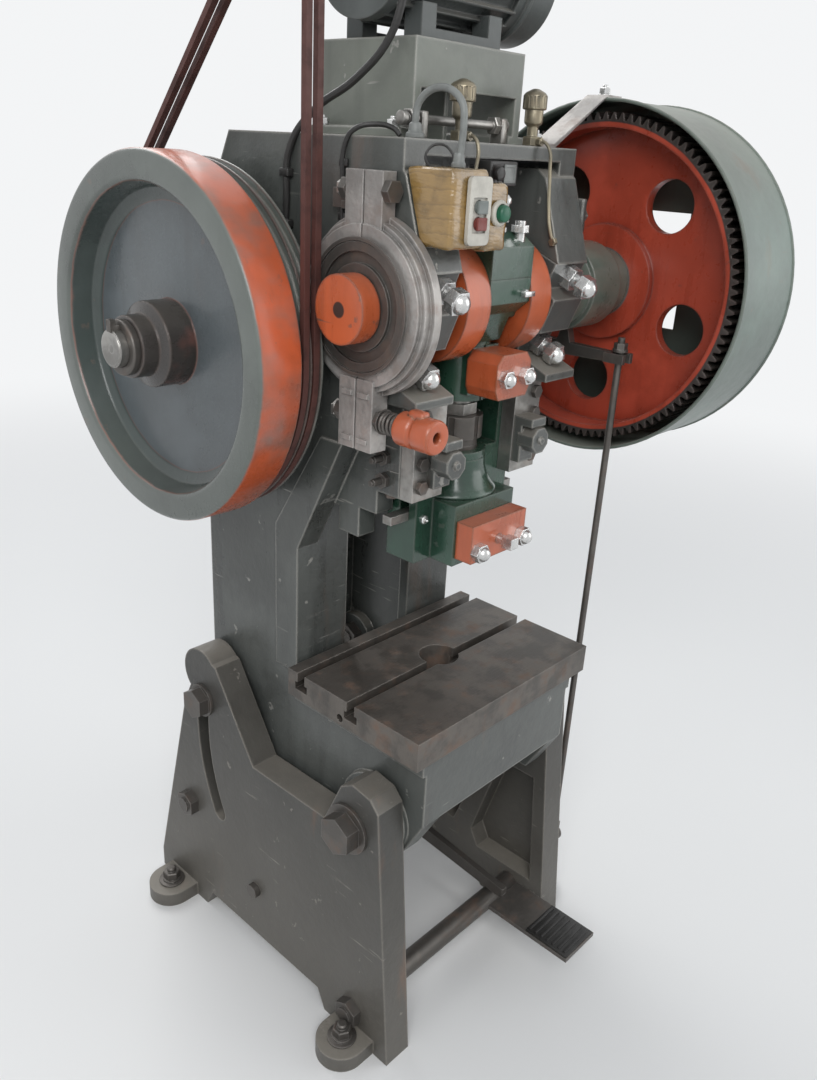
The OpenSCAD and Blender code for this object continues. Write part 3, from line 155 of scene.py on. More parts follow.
class Tree:
    """Builds the nodes of one material, or of the sky.

    Args:
        holder: The material or world that gets the nodes.
    """

    def __init__(self, holder: bpy.types.ID) -> None:
        """Empty the holder's nodes."""
        holder.use_nodes = True
        self.holder = holder
        self.nodes = holder.node_tree.nodes
        self.nodes.clear()

    @cached_property
    def place(self) -> Sock:
        """The place on the piece, in metres."""
        return self.node("TexCoord", {}, {}, "Object")

    @cached_property
    def normal(self) -> Sock:
        """The direction that the surface faces."""
        return self.node("NewGeometry", {}, {}, "Normal")

    def join(self, socket: Sock, taker: bpy.types.NodeSocket) -> None:
        """Lead a socket into an input."""
        self.holder.node_tree.links.new(socket.socket, taker)

    def node(self, kind: str, settings: Dict[str, object], values: Dict[object, object],
             out: object = 0) -> Sock:
        """Add a node of any type.

        Args:
            kind: The type's name after "ShaderNode".
            settings: Properties that are set first.
            values: A number, colour or Sock for each input.
            out: Name or number of the output that is returned, or None at an end.

        Returns:
            The chosen output.
        """
        made = self.nodes.new("ShaderNode" + kind)
        for key, value in settings.items():
            setattr(made, key, value)
        for key, value in values.items():
            if isinstance(value, Sock):
                self.join(value, made.inputs[key])
            elif isinstance(value, tuple) and made.inputs[key].type == "RGBA":
                made.inputs[key].default_value = (*value, 1.0)
            else:
                made.inputs[key].default_value = value
        return Sock(self, None if out is None else made.outputs[out])

    def noise(self, scale: float, detail: float = 4.0, stretch: Point = (1, 1, 1),
              shift: float = 0.0) -> Sock:
        """Return a noise value between 0 and 1.

        Args:
            scale: Cells per metre.
            detail: Number of finer layers.
            stretch: Factor on each axis before the scale.
            shift: Distance that moves the pattern, for a second one of the same scale.

        Returns:
            The noise.
        """
        where = self.node("Mapping", {}, {"Vector": self.place, "Scale": stretch,
                                          "Location": (shift, shift * 0.7, -shift)})
        return self.node("TexNoise", {}, {"Vector": where, "Scale": scale, "Detail": detail,
                                          "Roughness": 0.6})

    def split(self, vector: Sock, axis: str) -> Sock:
        """Return one part of a vector."""
        return self.node("SeparateXYZ", {}, {0: vector}, axis)

    def reach(self, axis: Point) -> Sock:
        """Return the distance from a line along X.

        Args:
            axis: A point of the line, in metres.

        Returns:
            The distance in millimetres.
        """
        flat = self.node("VectorMath", {"operation": "MULTIPLY_ADD"},
                         {0: self.place, 1: (0.0, 1000.0, 1000.0),
                          2: (0.0, -1000.0 * axis[1], -1000.0 * axis[2])})
        return self.node("VectorMath", {"operation": "LENGTH"}, {0: flat}, "Value")

    def facing_up(self) -> Sock:
        """Return how far the surface faces up, from -1 to 1."""
        return self.split(self.normal, "Z")

    def edge(self, radius: float) -> Sock:
        """Return 1 on outer and inner edges and 0 on open faces.

        Args:
            radius: Width of the band along an edge.

        Returns:
            The share of edge.
        """
        soft = self.node("Bevel", {"samples": LOOKS}, {"Radius": radius})
        same = self.node("VectorMath", {"operation": "DOT_PRODUCT"},
                         {0: soft, 1: self.normal}, "Value")
        return ((1.0 - same) * 6.0).clip()

    def corner_shade(self, reach: float) -> Sock:
        """Return painted shade in the piece's own corners: 1 deep in them and 0 on its open faces.

        Args:
            reach: Distance in metres that counts as a corner.

        Returns:
            The share of corner.
        """
        open_sky = self.node("AmbientOcclusion", {"samples": LOOKS, "only_local": True},
                             {"Distance": reach}, "AO")
        return 1.0 - open_sky

    def mix(self, amount: object, first: object, second: object) -> Sock:
        """Return a colour between two colours.

        Args:
            amount: 0 for the first colour and 1 for the second.
            first: A colour or its socket.
            second: A colour or its socket.

        Returns:
            The mixed colour.
        """
        return self.node("Mix", {"data_type": "RGBA"},
                         {MIX_FACTOR: amount, MIX_FIRST: first, MIX_SECOND: second}, MIX_RESULT)

    def plain(self, colour: Colour) -> Sock:
        """Return one colour as a socket."""
        return self.mix(0.0, colour, colour)

    def shade(self, colour: object, amount: object) -> Sock:
        """Return the colour made lighter or darker by a value."""
        return self.node("VectorMath", {"operation": "SCALE"}, {0: colour, "Scale": amount})

    def seen(self) -> Sock:
        """Return 1 for the rays that see the backdrop, and 0 for those that light the press."""
        first, *others = (self.node("LightPath", {}, {}, name) for name in SEEN_RAYS)
        for other in others:
            first = first.top(other)
        return first

    def surface(self, colour: object, rough: object, metallic: object, grain: Optional[Sock],
                grain_depth: float, radius: float, **fixed: float) -> Sock:
        """Add the Principled shader with rounded edges and a grain.

        Args:
            colour: Base colour.
            rough: Roughness.
            metallic: Metallic value.
            grain: Height of the surface texture, or None.
            grain_depth: Height in metres between 0 and 1 of the grain.
            radius: Radius of the rounded edges.
            **fixed: Constants of the shader's own sockets, with _ for a space.

        Returns:
            The shader.
        """
        normal = self.node("Bevel", {"samples": LOOKS}, {"Radius": radius})
        if grain is not None:
            normal = self.node("Bump", {}, {"Strength": 1.0, "Distance": grain_depth,
                                            "Height": grain, "Normal": normal})
        values: Dict[object, object] = {"Base Color": colour, "Roughness": rough,
                                        "Metallic": metallic, "Normal": normal}
        values.update({key.replace("_", " "): value for key, value in fixed.items()})
        return self.node("BsdfPrincipled", {}, values)

    def end(self, shader: Sock, kind: str = "OutputMaterial") -> bpy.types.ID:
        """End the nodes with a shader and return their holder."""
        self.node(kind, {}, {"Surface": shader}, None)
        return self.holder


@dataclass(frozen=True)
class Paint:
    """Enamel brushed on rough cast iron, chipped, oiled and dusty with years of use, with painted
    shade in its corners.

    Args:
        colour: Colour of the clean paint.
        chip: Colour of the iron that shows where the paint is gone.
        chips: Strength of the bare edges and spots.
        oil: Strength of oil streaks and stains.
        dust: Strength of the dust on top faces.
        rust: Strength of rust streaks.
        rough: Roughness of the clean paint.
        cast: Depth of the casting's grain in metres.
        floor_dust: Strength of the dust near the floor.
        radius: Radius of the rounded edges in metres.
        coat: Weight of the gloss on top.
        scuffs: Strength of long scratches.
        shine: Metallic value of the bare iron.
    """

    colour: Colour
    chip: Colour = (0.16, 0.15, 0.14)
    chips: float = 0.5
    oil: float = 0.4
    dust: float = 0.3
    rust: float = 0.2
    rough: float = 0.42
    cast: float = 0.0009
    floor_dust: float = 0.0
    radius: float = 0.004
    coat: float = 0.0
    scuffs: float = 0.25
    shine: float = 0.35

    def base(self, t: Tree) -> Sock:
        """Return the clean colour."""
        return t.mix(t.noise(3.0, 2.0, shift=11.0).step(0.3, 0.7) * 0.5, self.colour,
                     tuple(c * 0.8 + 0.012 for c in self.colour))

    def build(self, t: Tree) -> bpy.types.ID:
        """Lay oil, painted corner shade, stains, rust, dust and worn spots over the clean colour.

        Args:
            t: Builder of the new material.

        Returns:
            The material.
        """
        broad, fine = t.noise(5.0, 5.0), t.noise(70.0, 3.0, shift=2.0)
        streak = t.noise(9.0, 5.0, (3.0, 3.0, 0.35), 4.0)
        colour = t.shade(self.base(t), 0.45 + broad * 1.05)
        greasy = (streak * 0.6 + broad * 0.4).step(0.62 - 0.25 * self.oil, 0.78 - 0.2 * self.oil)
        # Oil streaks, plus painted shade in the piece's corners, darken the colour
        oil_and_corner_shade = (greasy * self.oil + t.corner_shade(0.03).step(0.12, 0.6) * 0.75).clip()
        colour = t.mix(oil_and_corner_shade * 0.7, colour, t.shade(colour, 0.3))
        stain = t.noise(2.6, 9.0, shift=13.0).step(0.50, 0.57) * (0.25 + 0.3 * self.oil)
        colour = t.mix(stain, colour, t.shade(colour, 0.45))
        rusty = t.noise(7.0, 7.0, (1.6, 1.6, 0.3), 9.0).step(0.60, 0.72) * self.rust
        colour = t.mix(rusty.clip(), colour, PAINT_RUST)
        settled = (t.facing_up().step(0.3, 0.95) * (0.35 + broad)).clip() * self.dust
        low = (0.55 - t.split(t.place, "Z")).step(0.0, 0.55) * self.floor_dust
        powder = (settled + low * (0.45 + fine * 0.5)).clip()
        colour = t.mix(powder, colour, SHOP_DUST)
        worn = (t.edge(0.006) * 1.5 + fine * 0.9 + broad * 0.5 - 1.28).step(0.02, 0.2)
        spots = t.noise(26.0, 6.0, shift=7.0).step(0.66, 0.69) * 0.8
        marks = (t.noise(38.0, 2.0, (0.25, 0.25, 3.2), 6.0).step(0.68, 0.73)
                 * broad.step(0.45, 0.6)) * self.scuffs
        bare = (worn.top(spots).top(marks) * self.chips).clip()
        colour = t.mix(bare, colour, self.chip)
        rough = (self.rough + powder * 0.35 + fine * 0.16 - oil_and_corner_shade * 0.22 - stain * 0.2
                 + bare * 0.05).clip()
        grain = (fine * 0.45 + t.noise(220.0, 2.0) * 0.2 + t.noise(24.0, 2.0, shift=3.0) * 0.6
                 - bare * 0.35)
        return t.end(t.surface(colour, rough, bare * self.shine, grain, self.cast, self.radius,
                               Coat_Weight=self.coat, Coat_Roughness=0.15))


@dataclass(frozen=True)
class RingPaint(Paint):
    """Paint whose colour changes with the distance from a shaft, as on a wheel.

    Args:
        axis: A point of the shaft in metres.
        rings: Inner and outer radius of each ring in millimetres, and its colour.
        last_from: Where the last ring starts along X in millimetres.
        last_to: Where it ends.
    """

    axis: Point = SHAFT
    rings: Tuple[Tuple[float, float, Colour], ...] = ()
    last_from: float = -1000.0
    last_to: float = 1000.0

    @staticmethod
    def band(value: Sock, low: float, high: float, blur: float) -> Sock:
        """Return 1 where a value lies between two limits, with blurred ends."""
        return value.step(low - blur, low + blur) * (1.0 - value.step(high - blur, high + blur))

    def base(self, t: Tree) -> Sock:
        """Lay the rings over the wheel's own colour.

        Args:
            t: Builder of the new material.

        Returns:
            The clean colour.
        """
        reach = t.reach(self.axis) + (t.noise(20.0, 2.0, shift=5.0) - 0.5) * 3.0
        along = t.split(t.place, "X") * (1 / MM)
        colour = t.plain(self.colour)
        for low, high, ring in self.rings:
            inside = self.band(reach, low, high, 1.2)
            if (low, high, ring) == self.rings[-1]:
                inside = inside * self.band(along, self.last_from, self.last_to, 1.5)
            colour = t.mix(inside, colour, ring)
        return colour


@dataclass(frozen=True)
class Bare:
    """Metal without paint: machined, cast, plated or oiled.

    Args:
        colour: Colour of the clean metal.
        rough: Its roughness.
        metallic: Its metallic value.
        rust: Strength of the rust.
        grease: Strength of old grease.
        scratch: Depth of the scratches in metres.
        radius: Radius of the rounded edges in metres.
        lines: Stretch of the scratches along X, Y and Z.
    """

    colour: Colour
    rough: float = 0.35
    metallic: float = 0.9
    rust: float = 0.2
    grease: float = 0.3
    scratch: float = 0.0003
    radius: float = 0.0015
    lines: Point = (1.0, 1.0, 1.0)

    def build(self, t: Tree) -> bpy.types.ID:
        """Lay rust, grease, painted corner shade and bright edges over the metal.

        Args:
            t: Builder of the new material.

        Returns:
            The material.
        """
        broad, fine = t.noise(11.0, 5.0), t.noise(130.0, 3.0, self.lines, 1.0)
        colour = t.shade(t.plain(self.colour), 0.7 + broad * 0.45 + fine * 0.16)
        rusty = (t.noise(34.0, 6.0, shift=5.0) * 0.6 + broad * 0.4).step(0.5, 0.66) * self.rust
        colour = t.mix(rusty.clip(), colour, METAL_RUST)
        # Grease patches, plus painted shade in the piece's corners, darken the metal
        greasy = (t.noise(17.0, 4.0, shift=8.0).step(0.42, 0.6) * self.grease
                  + t.corner_shade(0.012).step(0.15, 0.6) * 0.6)
        colour = t.mix(greasy.clip(), colour, GREASE_AND_CORNER_SHADE)
        bright = (t.edge(0.003) * fine * 1.6).clip() * 0.5
        colour = t.mix(bright, colour, tuple(min(1.0, c * 1.5 + 0.08) for c in self.colour))
        metal = (self.metallic - rusty * 0.7 - greasy * 0.6).clip()
        rough = (self.rough + rusty * 0.35 + fine * 0.22 - 0.1 - greasy * 0.08).clip()
        return t.end(t.surface(colour, rough, metal, fine, self.scratch, self.radius))


@dataclass(frozen=True)
class Moulded:
    """Plastic or rubber, a little soiled.

    Args:
        colour: Colour of the clean plastic.
        rough: Its roughness.
        soil: Strength of the dirt.
        grain: Depth of the surface texture in metres.
        radius: Radius of the rounded edges in metres.
        coat: Weight of the gloss on top.
        wound: Strength of the painted shade at the overlaps and in the wrinkles of wound tape.
        tape: Width of the tape in millimetres.
    """

    colour: Colour
    rough: float = 0.4
    soil: float = 0.4
    grain: float = 0.0002
    radius: float = 0.0012
    coat: float = 0.0
    wound: float = 0.0
    tape: float = 17.0

    def build(self, t: Tree) -> bpy.types.ID:
        """Soil the plastic, and wind tape round it where it has any, with painted shade at its
        laps and creases.

        Args:
            t: Builder of the new material.

        Returns:
            The material.
        """
        broad, fine = t.noise(24.0, 5.0), t.noise(300.0, 2.0, shift=3.0)
        soiled = (broad.step(0.42, 0.68) * self.soil).clip()
        colour = t.mix(soiled, self.colour, tuple(c * 0.35 for c in self.colour))
        grain, depth = fine, self.grain
        if self.wound:
            lean = t.split(t.place, "Z") * (1 / MM) + t.split(t.place, "X") * 180.0
            laps = ((lean + (broad - 0.5) * 14.0) * (2 * math.pi / self.tape)).wave() * 0.5 + 0.5
            creases = t.noise(42.0, 3.0, (0.8, 0.8, 2.2), 6.0).step(0.35, 0.7)
            # Painted shade along the tape's lap edges and in its creases
            colour = t.mix(((1.0 - laps.step(0.0, 0.07)) * 0.5 + creases * 0.3).clip()
                           * self.wound, colour, tuple(c * 0.3 for c in self.colour))
            grain, depth = laps.step(0.0, 0.2) * 0.25 + creases * 0.7 + fine * 0.05, 0.0010
        rough = (self.rough + fine * 0.12 + soiled * 0.2 - 0.05).clip()
        return t.end(t.surface(colour, rough, 0.0, grain, depth, self.radius,
                               Coat_Weight=self.coat, Coat_Roughness=0.2))


GEAR_RED: Colour = (0.45, 0.068, 0.036)
RIM_ORANGE: Colour = (0.55, 0.105, 0.035)


class Finish(Enum):
    """The finishes of the press: slot of the record, and looks."""

    FRAME = ("frame_paint", Paint((0.086, 0.092, 0.085), (0.38, 0.37, 0.34), 0.85, 0.6, 0.5,
                                  0.2, 0.34, 0.0015, scuffs=0.8, shine=0.7, coat=0.2))
    LEG = ("leg_paint", Paint((0.048, 0.046, 0.041), (0.28, 0.26, 0.23), 0.9, 0.5, 0.4, 0.55,
                              0.40, 0.0016, 0.28, scuffs=1.0, shine=0.6, coat=0.1))
    CAP = ("frame_paint", Paint((0.072, 0.076, 0.071), (0.40, 0.39, 0.36), 0.85, 0.7, 0.3,
                                scuffs=0.4, shine=0.6, coat=0.2))
    ORANGE = ("orange_paint", Paint((0.50, 0.105, 0.035), (0.24, 0.15, 0.10), 0.6, 0.5, 0.08, 0.1,
                                    0.26, 0.0004, coat=0.4, scuffs=0.4, shine=0.5))
    CRANKSHAFT = ("orange_paint", RingPaint(
        (0.50, 0.105, 0.035), (0.14, 0.10, 0.08), 0.75, 0.6, 0.08, 0.1, 0.26, 0.0006, coat=0.4,
        scuffs=0.9, shine=0.4, axis=CRANK, rings=((-9.0, 10.5, (0.018, 0.016, 0.014)),
                                                  (-9.0, 43.5, (0.16, 0.15, 0.14))),
        last_from=190.0, last_to=600.0))
    WHEEL = ("flywheel_paint", RingPaint(
        RIM_ORANGE, (0.20, 0.13, 0.10), 0.35, 0.35, 0.10, 0.08, 0.27, 0.0004, coat=0.35,
        rings=((-9.0, 65.0, (0.050, 0.044, 0.040)), (65.0, 203.0, (0.105, 0.122, 0.130)),
               (203.0, 229.0, (0.062, 0.080, 0.074)), (229.0, 271.3, (0.125, 0.140, 0.126)),
               (262.0, 290.0, (0.070, 0.050, 0.045))),
        last_from=-272.0, last_to=-236.0))
    GREEN = ("green_paint", Paint((0.022, 0.072, 0.044), (0.13, 0.14, 0.12), 0.45, 0.6, 0.06, 0.05,
                                  0.22, 0.0006, coat=0.45, scuffs=0.3))
    GUARD = ("guard_paint", Paint((0.15, 0.195, 0.168), (0.22, 0.19, 0.16), 0.55, 0.4, 0.4, 0.3,
                                  0.36, 0.0005, coat=0.15, scuffs=0.6))
    COLLAR = ("guard_paint", Paint((0.13, 0.17, 0.14), (0.30, 0.29, 0.27), 0.6, 0.55, 0.15, 0.1,
                                   0.3, 0.0004, coat=0.3, scuffs=0.5, shine=0.6))
    MOTOR = ("motor_paint", Paint((0.10, 0.112, 0.108), (0.2, 0.2, 0.19), 0.35, 0.3, 0.5, 0.12))
    # The frame paint made lighter: painted light on the motor bracket
    LIT_FRAME = ("frame_paint", Paint((0.20, 0.215, 0.185), (0.42, 0.41, 0.38), 0.8, 0.4, 0.4, 0.2,
                                  0.36, scuffs=0.8, shine=0.6))
    GEAR = ("gear_red", RingPaint(
        GEAR_RED, (0.10, 0.06, 0.05), 0.4, 0.55, 0.08, 0.08, 0.3, 0.0007, coat=0.25,
        axis=CRANK, rings=((-9.0, 60.0, (0.16, 0.15, 0.14)),
                           (257.0, 300.0, (0.050, 0.042, 0.038)))))
    STEEL = ("oily_steel", Bare((0.36, 0.35, 0.33), 0.36, rust=0.25, grease=0.45))
    TABLE = ("table_steel", Bare((0.14, 0.125, 0.11), 0.42, 0.6, 0.4, 0.65, 0.0005, 0.003,
                                 lines=(0.15, 3.0, 1.0)))
    ZINC = ("bright_zinc", Bare((0.66, 0.66, 0.65), 0.24, rust=0.06, grease=0.12))
    RAW = ("raw_iron", Bare((0.40, 0.38, 0.36), 0.48, 0.6, 0.35, 0.35, 0.0010, 0.0025))
    DARK = ("dark_steel", Bare((0.12, 0.11, 0.10), 0.42, 0.65, 0.3, 0.35))
    BRONZE = ("bronze", Bare((0.52, 0.33, 0.12), 0.35, rust=0.0, grease=0.4))
    BRASS = ("bronze", Bare((0.30, 0.265, 0.19), 0.36, 0.85, rust=0.15, grease=0.5))
    BELT = ("belt_rubber", Moulded((0.085, 0.030, 0.024), 0.55, 0.7))
    TAPE = ("pale_plastic", Moulded((0.31, 0.19, 0.06), 0.15, 0.6, 0.0006, coat=0.8, wound=0.5))
    GREY = ("grey_plastic", Moulded((0.20, 0.21, 0.20), 0.42, 0.6))
    BLACK = ("dark_steel", Moulded((0.022, 0.021, 0.020), 0.38, 0.5, 0.0004))
    WHITE = ("white_plastic", Moulded((0.52, 0.50, 0.44), 0.32, 0.35))
    RED = ("red_plastic", Moulded((0.17, 0.035, 0.028), 0.4, 0.6))
    BUTTON_GREY = ("grey_plastic", Moulded((0.16, 0.18, 0.17), 0.4, 0.4))
    BUTTON_GREEN = ("green_plastic", Moulded((0.015, 0.13, 0.07), 0.35, 0.6, coat=0.1))

    def material(self) -> bpy.types.Material:
        """Return the finish's one material, built at its first use."""
        name = "finish_" + self.name.lower()
        made = bpy.data.materials.get(name)
        return made or self.value[1].build(Tree(bpy.data.materials.new(name)))


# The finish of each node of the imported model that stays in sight
NODE_FINISH: Dict[Finish, Sequence[str]] = {
    Finish.LEG: ("left_leg", "right_leg"),
    Finish.FRAME: ("frame_casting", "guide_brackets", "shaft_bearings", "latch_bracket"),
    Finish.CAP: ("bearing_caps",),
    Finish.LIT_FRAME: ("motor_bracket",),
    Finish.STEEL: ("gibs", "ball_screw", "back_shaft", "knockout_bar", "motor_pulley"),
    Finish.DARK: ("pivot_bolts", "clamp_bolts", "tie_rods", "bolster_bolts", "adjusting_screws",
                  "brake_bolts", "brake_spring", "gland_nut", "pinion", "brake_drum", "treadle",
                  "trip_lever", "pull_rod"),
    Finish.ZINC: ("cap_studs", "rod_studs", "shank_studs", "rod_oiler"),
    Finish.BRONZE: ("main_bushes", "crank_pin"),
    Finish.TABLE: ("bolster_plate",),
    Finish.RAW: ("brake_rear_shoe", "brake_front_shoe", "guard_straps"),
    Finish.BRASS: ("grease_cups",),
    Finish.GUARD: ("gear_guard",),
    Finish.COLLAR: ("clutch_collar",),
    Finish.MOTOR: ("motor", "terminal_box"),
    Finish.BELT: ("drive_belts",),
    Finish.TAPE: ("switch_box", "button_box"),
    Finish.WHITE: ("switch_plate",),
    Finish.BLACK: ("limit_switch",),
    Finish.GREY: ("conduit",),
    Finish.CRANKSHAFT: ("crankshaft",),
    Finish.ORANGE: ("rod_clamp", "shank_clamp", "brake_sleeve"),
    Finish.WHEEL: ("flywheel",),
    Finish.GREEN: ("connecting_rod", "rod_cap", "ram"),
    Finish.GEAR: ("bull_gear",),
    Finish.BUTTON_GREY: ("start_button",),
    Finish.RED: ("stop_button",),
    Finish.BUTTON_GREEN: ("inch_button",),
}


def dress_nodes() -> None:
    """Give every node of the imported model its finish."""
    for finish, names in NODE_FINISH.items():
        for name in names:
            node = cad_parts[name]
            node.data.materials.clear()
            node.data.materials.append(finish.material())
            log.info("node %s: %s", name, finish.name)
    left = set(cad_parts) - {n for names in NODE_FINISH.values() for n in names}
    if left:
        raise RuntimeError(f"nodes without a finish: {sorted(left)}")


def nothing_selected() -> None:
    """Leave edit mode and deselect everything."""
    if bpy.context.object and bpy.context.object.mode != "OBJECT":
        bpy.ops.object.mode_set(mode="OBJECT")
    bpy.ops.object.select_all(action="DESELECT")


def soften(profile: Profile, radius: float, steps: int = 3, ring: bool = False
           ) -> List[Tuple[float, float]]:
    """Round the corners of a turned profile.

    Args:
        profile: Radius and distance along the axis of each corner.
        radius: Length of each corner's rounding.
        steps: Number of short edges in a corner.
        ring: True where the profile closes on itself.

    Returns:
        The rounded profile.
    """
    points = [Vector(p) for p in profile]
    count = len(points)
    made: List[Tuple[float, float]] = []
    for i, here in enumerate(points):
        if not ring and i in (0, count - 1):
            made.append(tuple(here))
            continue
        back, ahead = points[i - 1] - here, points[(i + 1) % count] - here
        cut = min(radius, 0.45 * back.length, 0.45 * ahead.length)
        a, b = here + back.normalized() * cut, here + ahead.normalized() * cut
        for k in range(steps + 1):
            s = k / steps
            made.append(tuple(a * (1 - s) ** 2 + here * 2 * s * (1 - s) + b * s * s))
    return made


class Bench:
    """Models one piece with edit-mode operators, in millimetres from an anchor point.

    Args:
        name: The piece's name.
        anchor: The point in metres that its sizes are measured from.
    """

    def __init__(self, name: str, anchor: Point) -> None:
        """Start without a lump."""
        self.name = name
        self.anchor = Vector(anchor)
        self.lumps: List[bpy.types.Object] = []

    @property
    def work(self) -> bpy.types.Object:
        """The lump that the operators act on."""
        return self.lumps[-1]

    def _hold(self) -> None:
        """Select nothing but the lump, and make it active."""
        nothing_selected()
        bpy.context.view_layer.objects.active = self.work
        self.work.select_set(True)

    def _leave(self) -> "Bench":
        """Leave edit mode and return the bench."""
        bpy.ops.object.mode_set(mode="OBJECT")
        return self

    def _copy(self, lump: bpy.types.Object, change: Matrix) -> bpy.types.Object:
        """Copy a lump with its own mesh.

        Args:
            lump: The lump that is copied.
            change: Where the copy goes, or how it is mirrored.

        Returns:
            The copy.
        """
        made = lump.copy()
        made.data = lump.data.copy()
        made.data.transform(change)
        bpy.context.scene.collection.objects.link(made)
        self.lumps.append(made)
        return made

    def _place(self, turn: Matrix, where: Point) -> "Bench":
        """Take the new primitive as a lump.

        Args:
            turn: Its turn and size.
            where: Its place in millimetres from the anchor.

        Returns:
            The bench.
        """
        made = bpy.context.object
        if made.mode != "OBJECT":
            bpy.ops.object.mode_set(mode="OBJECT")
        made.matrix_world = Matrix.Translation(self.anchor + Vector(where) * MM) @ turn
        bpy.ops.object.transform_apply(location=True, rotation=True, scale=True)
        self.lumps.append(made)
        return self

    def block(self, x0: float, x1: float, y0: float, y1: float, z0: float, z1: float) -> "Bench":
        """Add a block between the given limits along X, Y and Z, and return the bench."""
        nothing_selected()
        bpy.ops.mesh.primitive_cube_add(size=1)
        size = Matrix.Diagonal(((x1 - x0) * MM, (y1 - y0) * MM, (z1 - z0) * MM, 1))
        return self._place(size, ((x0 + x1) / 2, (y0 + y1) / 2, (z0 + z1) / 2))

    def turned(self, axis: str, where: Point, profile: Profile, sides: int = 48,
               ring: bool = False) -> "Bench":
        """Add a turned shape: a circle that is extruded and resized along its axis.

        Args:
            axis: "x", "y" or "z".
            where: Point of the axis that the distances start from.
            profile: Radius and distance along the axis of each step.
            sides: Number of sides.
            ring: True where the profile closes on itself, as on a hollow ring.

        Returns:
            The bench.
        """
        nothing_selected()
        bpy.context.tool_settings.mesh_select_mode = (True, False, False)
        radius, along = profile[0]
        bpy.ops.mesh.primitive_circle_add(vertices=sides, radius=radius * MM,
                                          fill_type="NOTHING" if ring else "NGON",
                                          location=(0, 0, along * MM))
        bpy.ops.object.transform_apply(location=True, rotation=True, scale=True)
        bpy.ops.object.mode_set(mode="EDIT")
        bpy.ops.mesh.select_all(action="SELECT")
        for new_radius, new_along in list(profile[1:]) + (list(profile[:1]) if ring else []):
            bpy.ops.mesh.extrude_region_move(
                TRANSFORM_OT_translate={"value": (0, 0, (new_along - along) * MM)})
            ratio = new_radius / radius
            bpy.ops.transform.resize(value=(ratio, ratio, 1),
                                     center_override=(0, 0, new_along * MM))
            radius, along = new_radius, new_along
        bpy.ops.mesh.select_all(action="SELECT")
        if ring:
            bpy.ops.mesh.remove_doubles(threshold=SAME_PLACE)
        bpy.ops.mesh.normals_make_consistent(inside=False)
        return self._place(TURN[axis], where)

    def hexagon(self, axis: str, where: Point, across: float, low: float, high: float) -> "Bench":
        """Add a hexagon with turned corners, such as a nut or a bolt head.

        Args:
            axis: "x", "y" or "z".
            where: Point of the axis that the distances start from.
            across: Size over two flats.
            low: Where it starts along the axis.
            high: Where it ends.

        Returns:
            The bench.
        """
        r = across / math.sqrt(3.0)
        return self.turned(axis, where, [(r * 0.9, low), (r, low + across * 0.04),
                                         (r, high - across * 0.05), (r * 0.88, high)], 6)

    def nut(self, axis: str, where: Point, across: float, low: float, way: int = 1) -> "Bench":
        """Add a washer, a nut and a rounded stud end.

        Args:
            axis: "x", "y" or "z".
            where: Point of the axis that the distances start from.
            across: Size of the nut over two flats.
            low: Where the washer is seated along the axis.
            way: 1 where the nut faces up the axis, -1 where it faces down.

        Returns:
            The bench.
        """
        r, w = across / 2, way
        washer = [(1.18, 0), (1.25, 0.06), (1.25, 0.2), (1.15, 0.26)]
        self.turned(axis, where, [(r * a, low + w * b * r) for a, b in washer], 28)
        ends = (low + w * 0.26 * r, low + w * 1.35 * r)
        self.hexagon(axis, where, across, min(ends), max(ends))
        stud = [(0.6, 1.3), (0.6, 1.75), (0.46, 1.9)]
        return self.turned(axis, where, [(r * a, low + w * b * r) for a, b in stud], 20)

    def pick(self, test: Test, kind: str = "faces", least_angle: float = 0.0) -> None:
        """Select faces, edges or corners in edit mode.

        Args:
            test: Takes the place in millimetres from the anchor and the direction.
            kind: "faces", "edges" or "verts".
            least_angle: Smallest angle in degrees between an edge's two faces.
        """
        self._hold()
        bpy.ops.object.mode_set(mode="EDIT")
        bpy.context.tool_settings.mesh_select_mode = tuple(
            kind == k for k in ("verts", "edges", "faces"))
        bpy.ops.mesh.select_all(action="DESELECT")
        mesh = bmesh.from_edit_mesh(self.work.data)
        for part in getattr(mesh, kind):
            if kind == "faces":
                middle, way = part.calc_center_median(), part.normal
            elif kind == "verts":
                middle, way = part.co, part.normal
            else:
                a, b = (v.co for v in part.verts)
                middle, way = (a + b) / 2, (b - a).normalized()
                if part.calc_face_angle(0.0) < math.radians(least_angle):
                    continue
            if test((middle - self.anchor) / MM, way):
                part.select_set(True)
        mesh.select_flush_mode()
        bmesh.update_edit_mesh(self.work.data)

    def bevel(self, width: float, segments: int = 2,
              test: Test = lambda place, way: True) -> "Bench":
        """Round the lump's sharp edges.

        Args:
            width: Width of the rounding.
            segments: Number of faces across it.
            test: Which edges are rounded.

        Returns:
            The bench.
        """
        self.pick(test, "edges", SHARP)
        bpy.ops.mesh.bevel(offset=width * MM, segments=segments, affect="EDGES")
        return self._leave()

    def inset(self, test: Test, thickness: float, depth: float, single: bool = False) -> "Bench":
        """Inset the chosen faces.

        Args:
            test: Which faces are chosen.
            thickness: Width of the frame that is left round them.
            depth: How far they rise, or sink below 0.
            single: True where each face is inset by itself.

        Returns:
            The bench.
        """
        self.pick(test)
        bpy.ops.mesh.inset(thickness=thickness * MM, depth=depth * MM, use_individual=single)
        return self._leave()

    def extrude(self, test: Test, move: Point) -> "Bench":
        """Extrude the chosen faces by a move, and return the bench."""
        self.pick(test)
        bpy.ops.mesh.extrude_region_move(
            TRANSFORM_OT_translate={"value": tuple(m * MM for m in move)})
        return self._leave()

    def shift(self, test: Test, move: Point) -> "Bench":
        """Move the chosen corners, and return the bench."""
        self.pick(test, "verts")
        bpy.ops.transform.translate(value=tuple(m * MM for m in move))
        return self._leave()

    def divide(self, cuts: int) -> "Bench":
        """Subdivide the whole lump, and return the bench."""
        self.pick(lambda place, way: True)
        bpy.ops.mesh.subdivide(number_cuts=cuts)
        return self._leave()

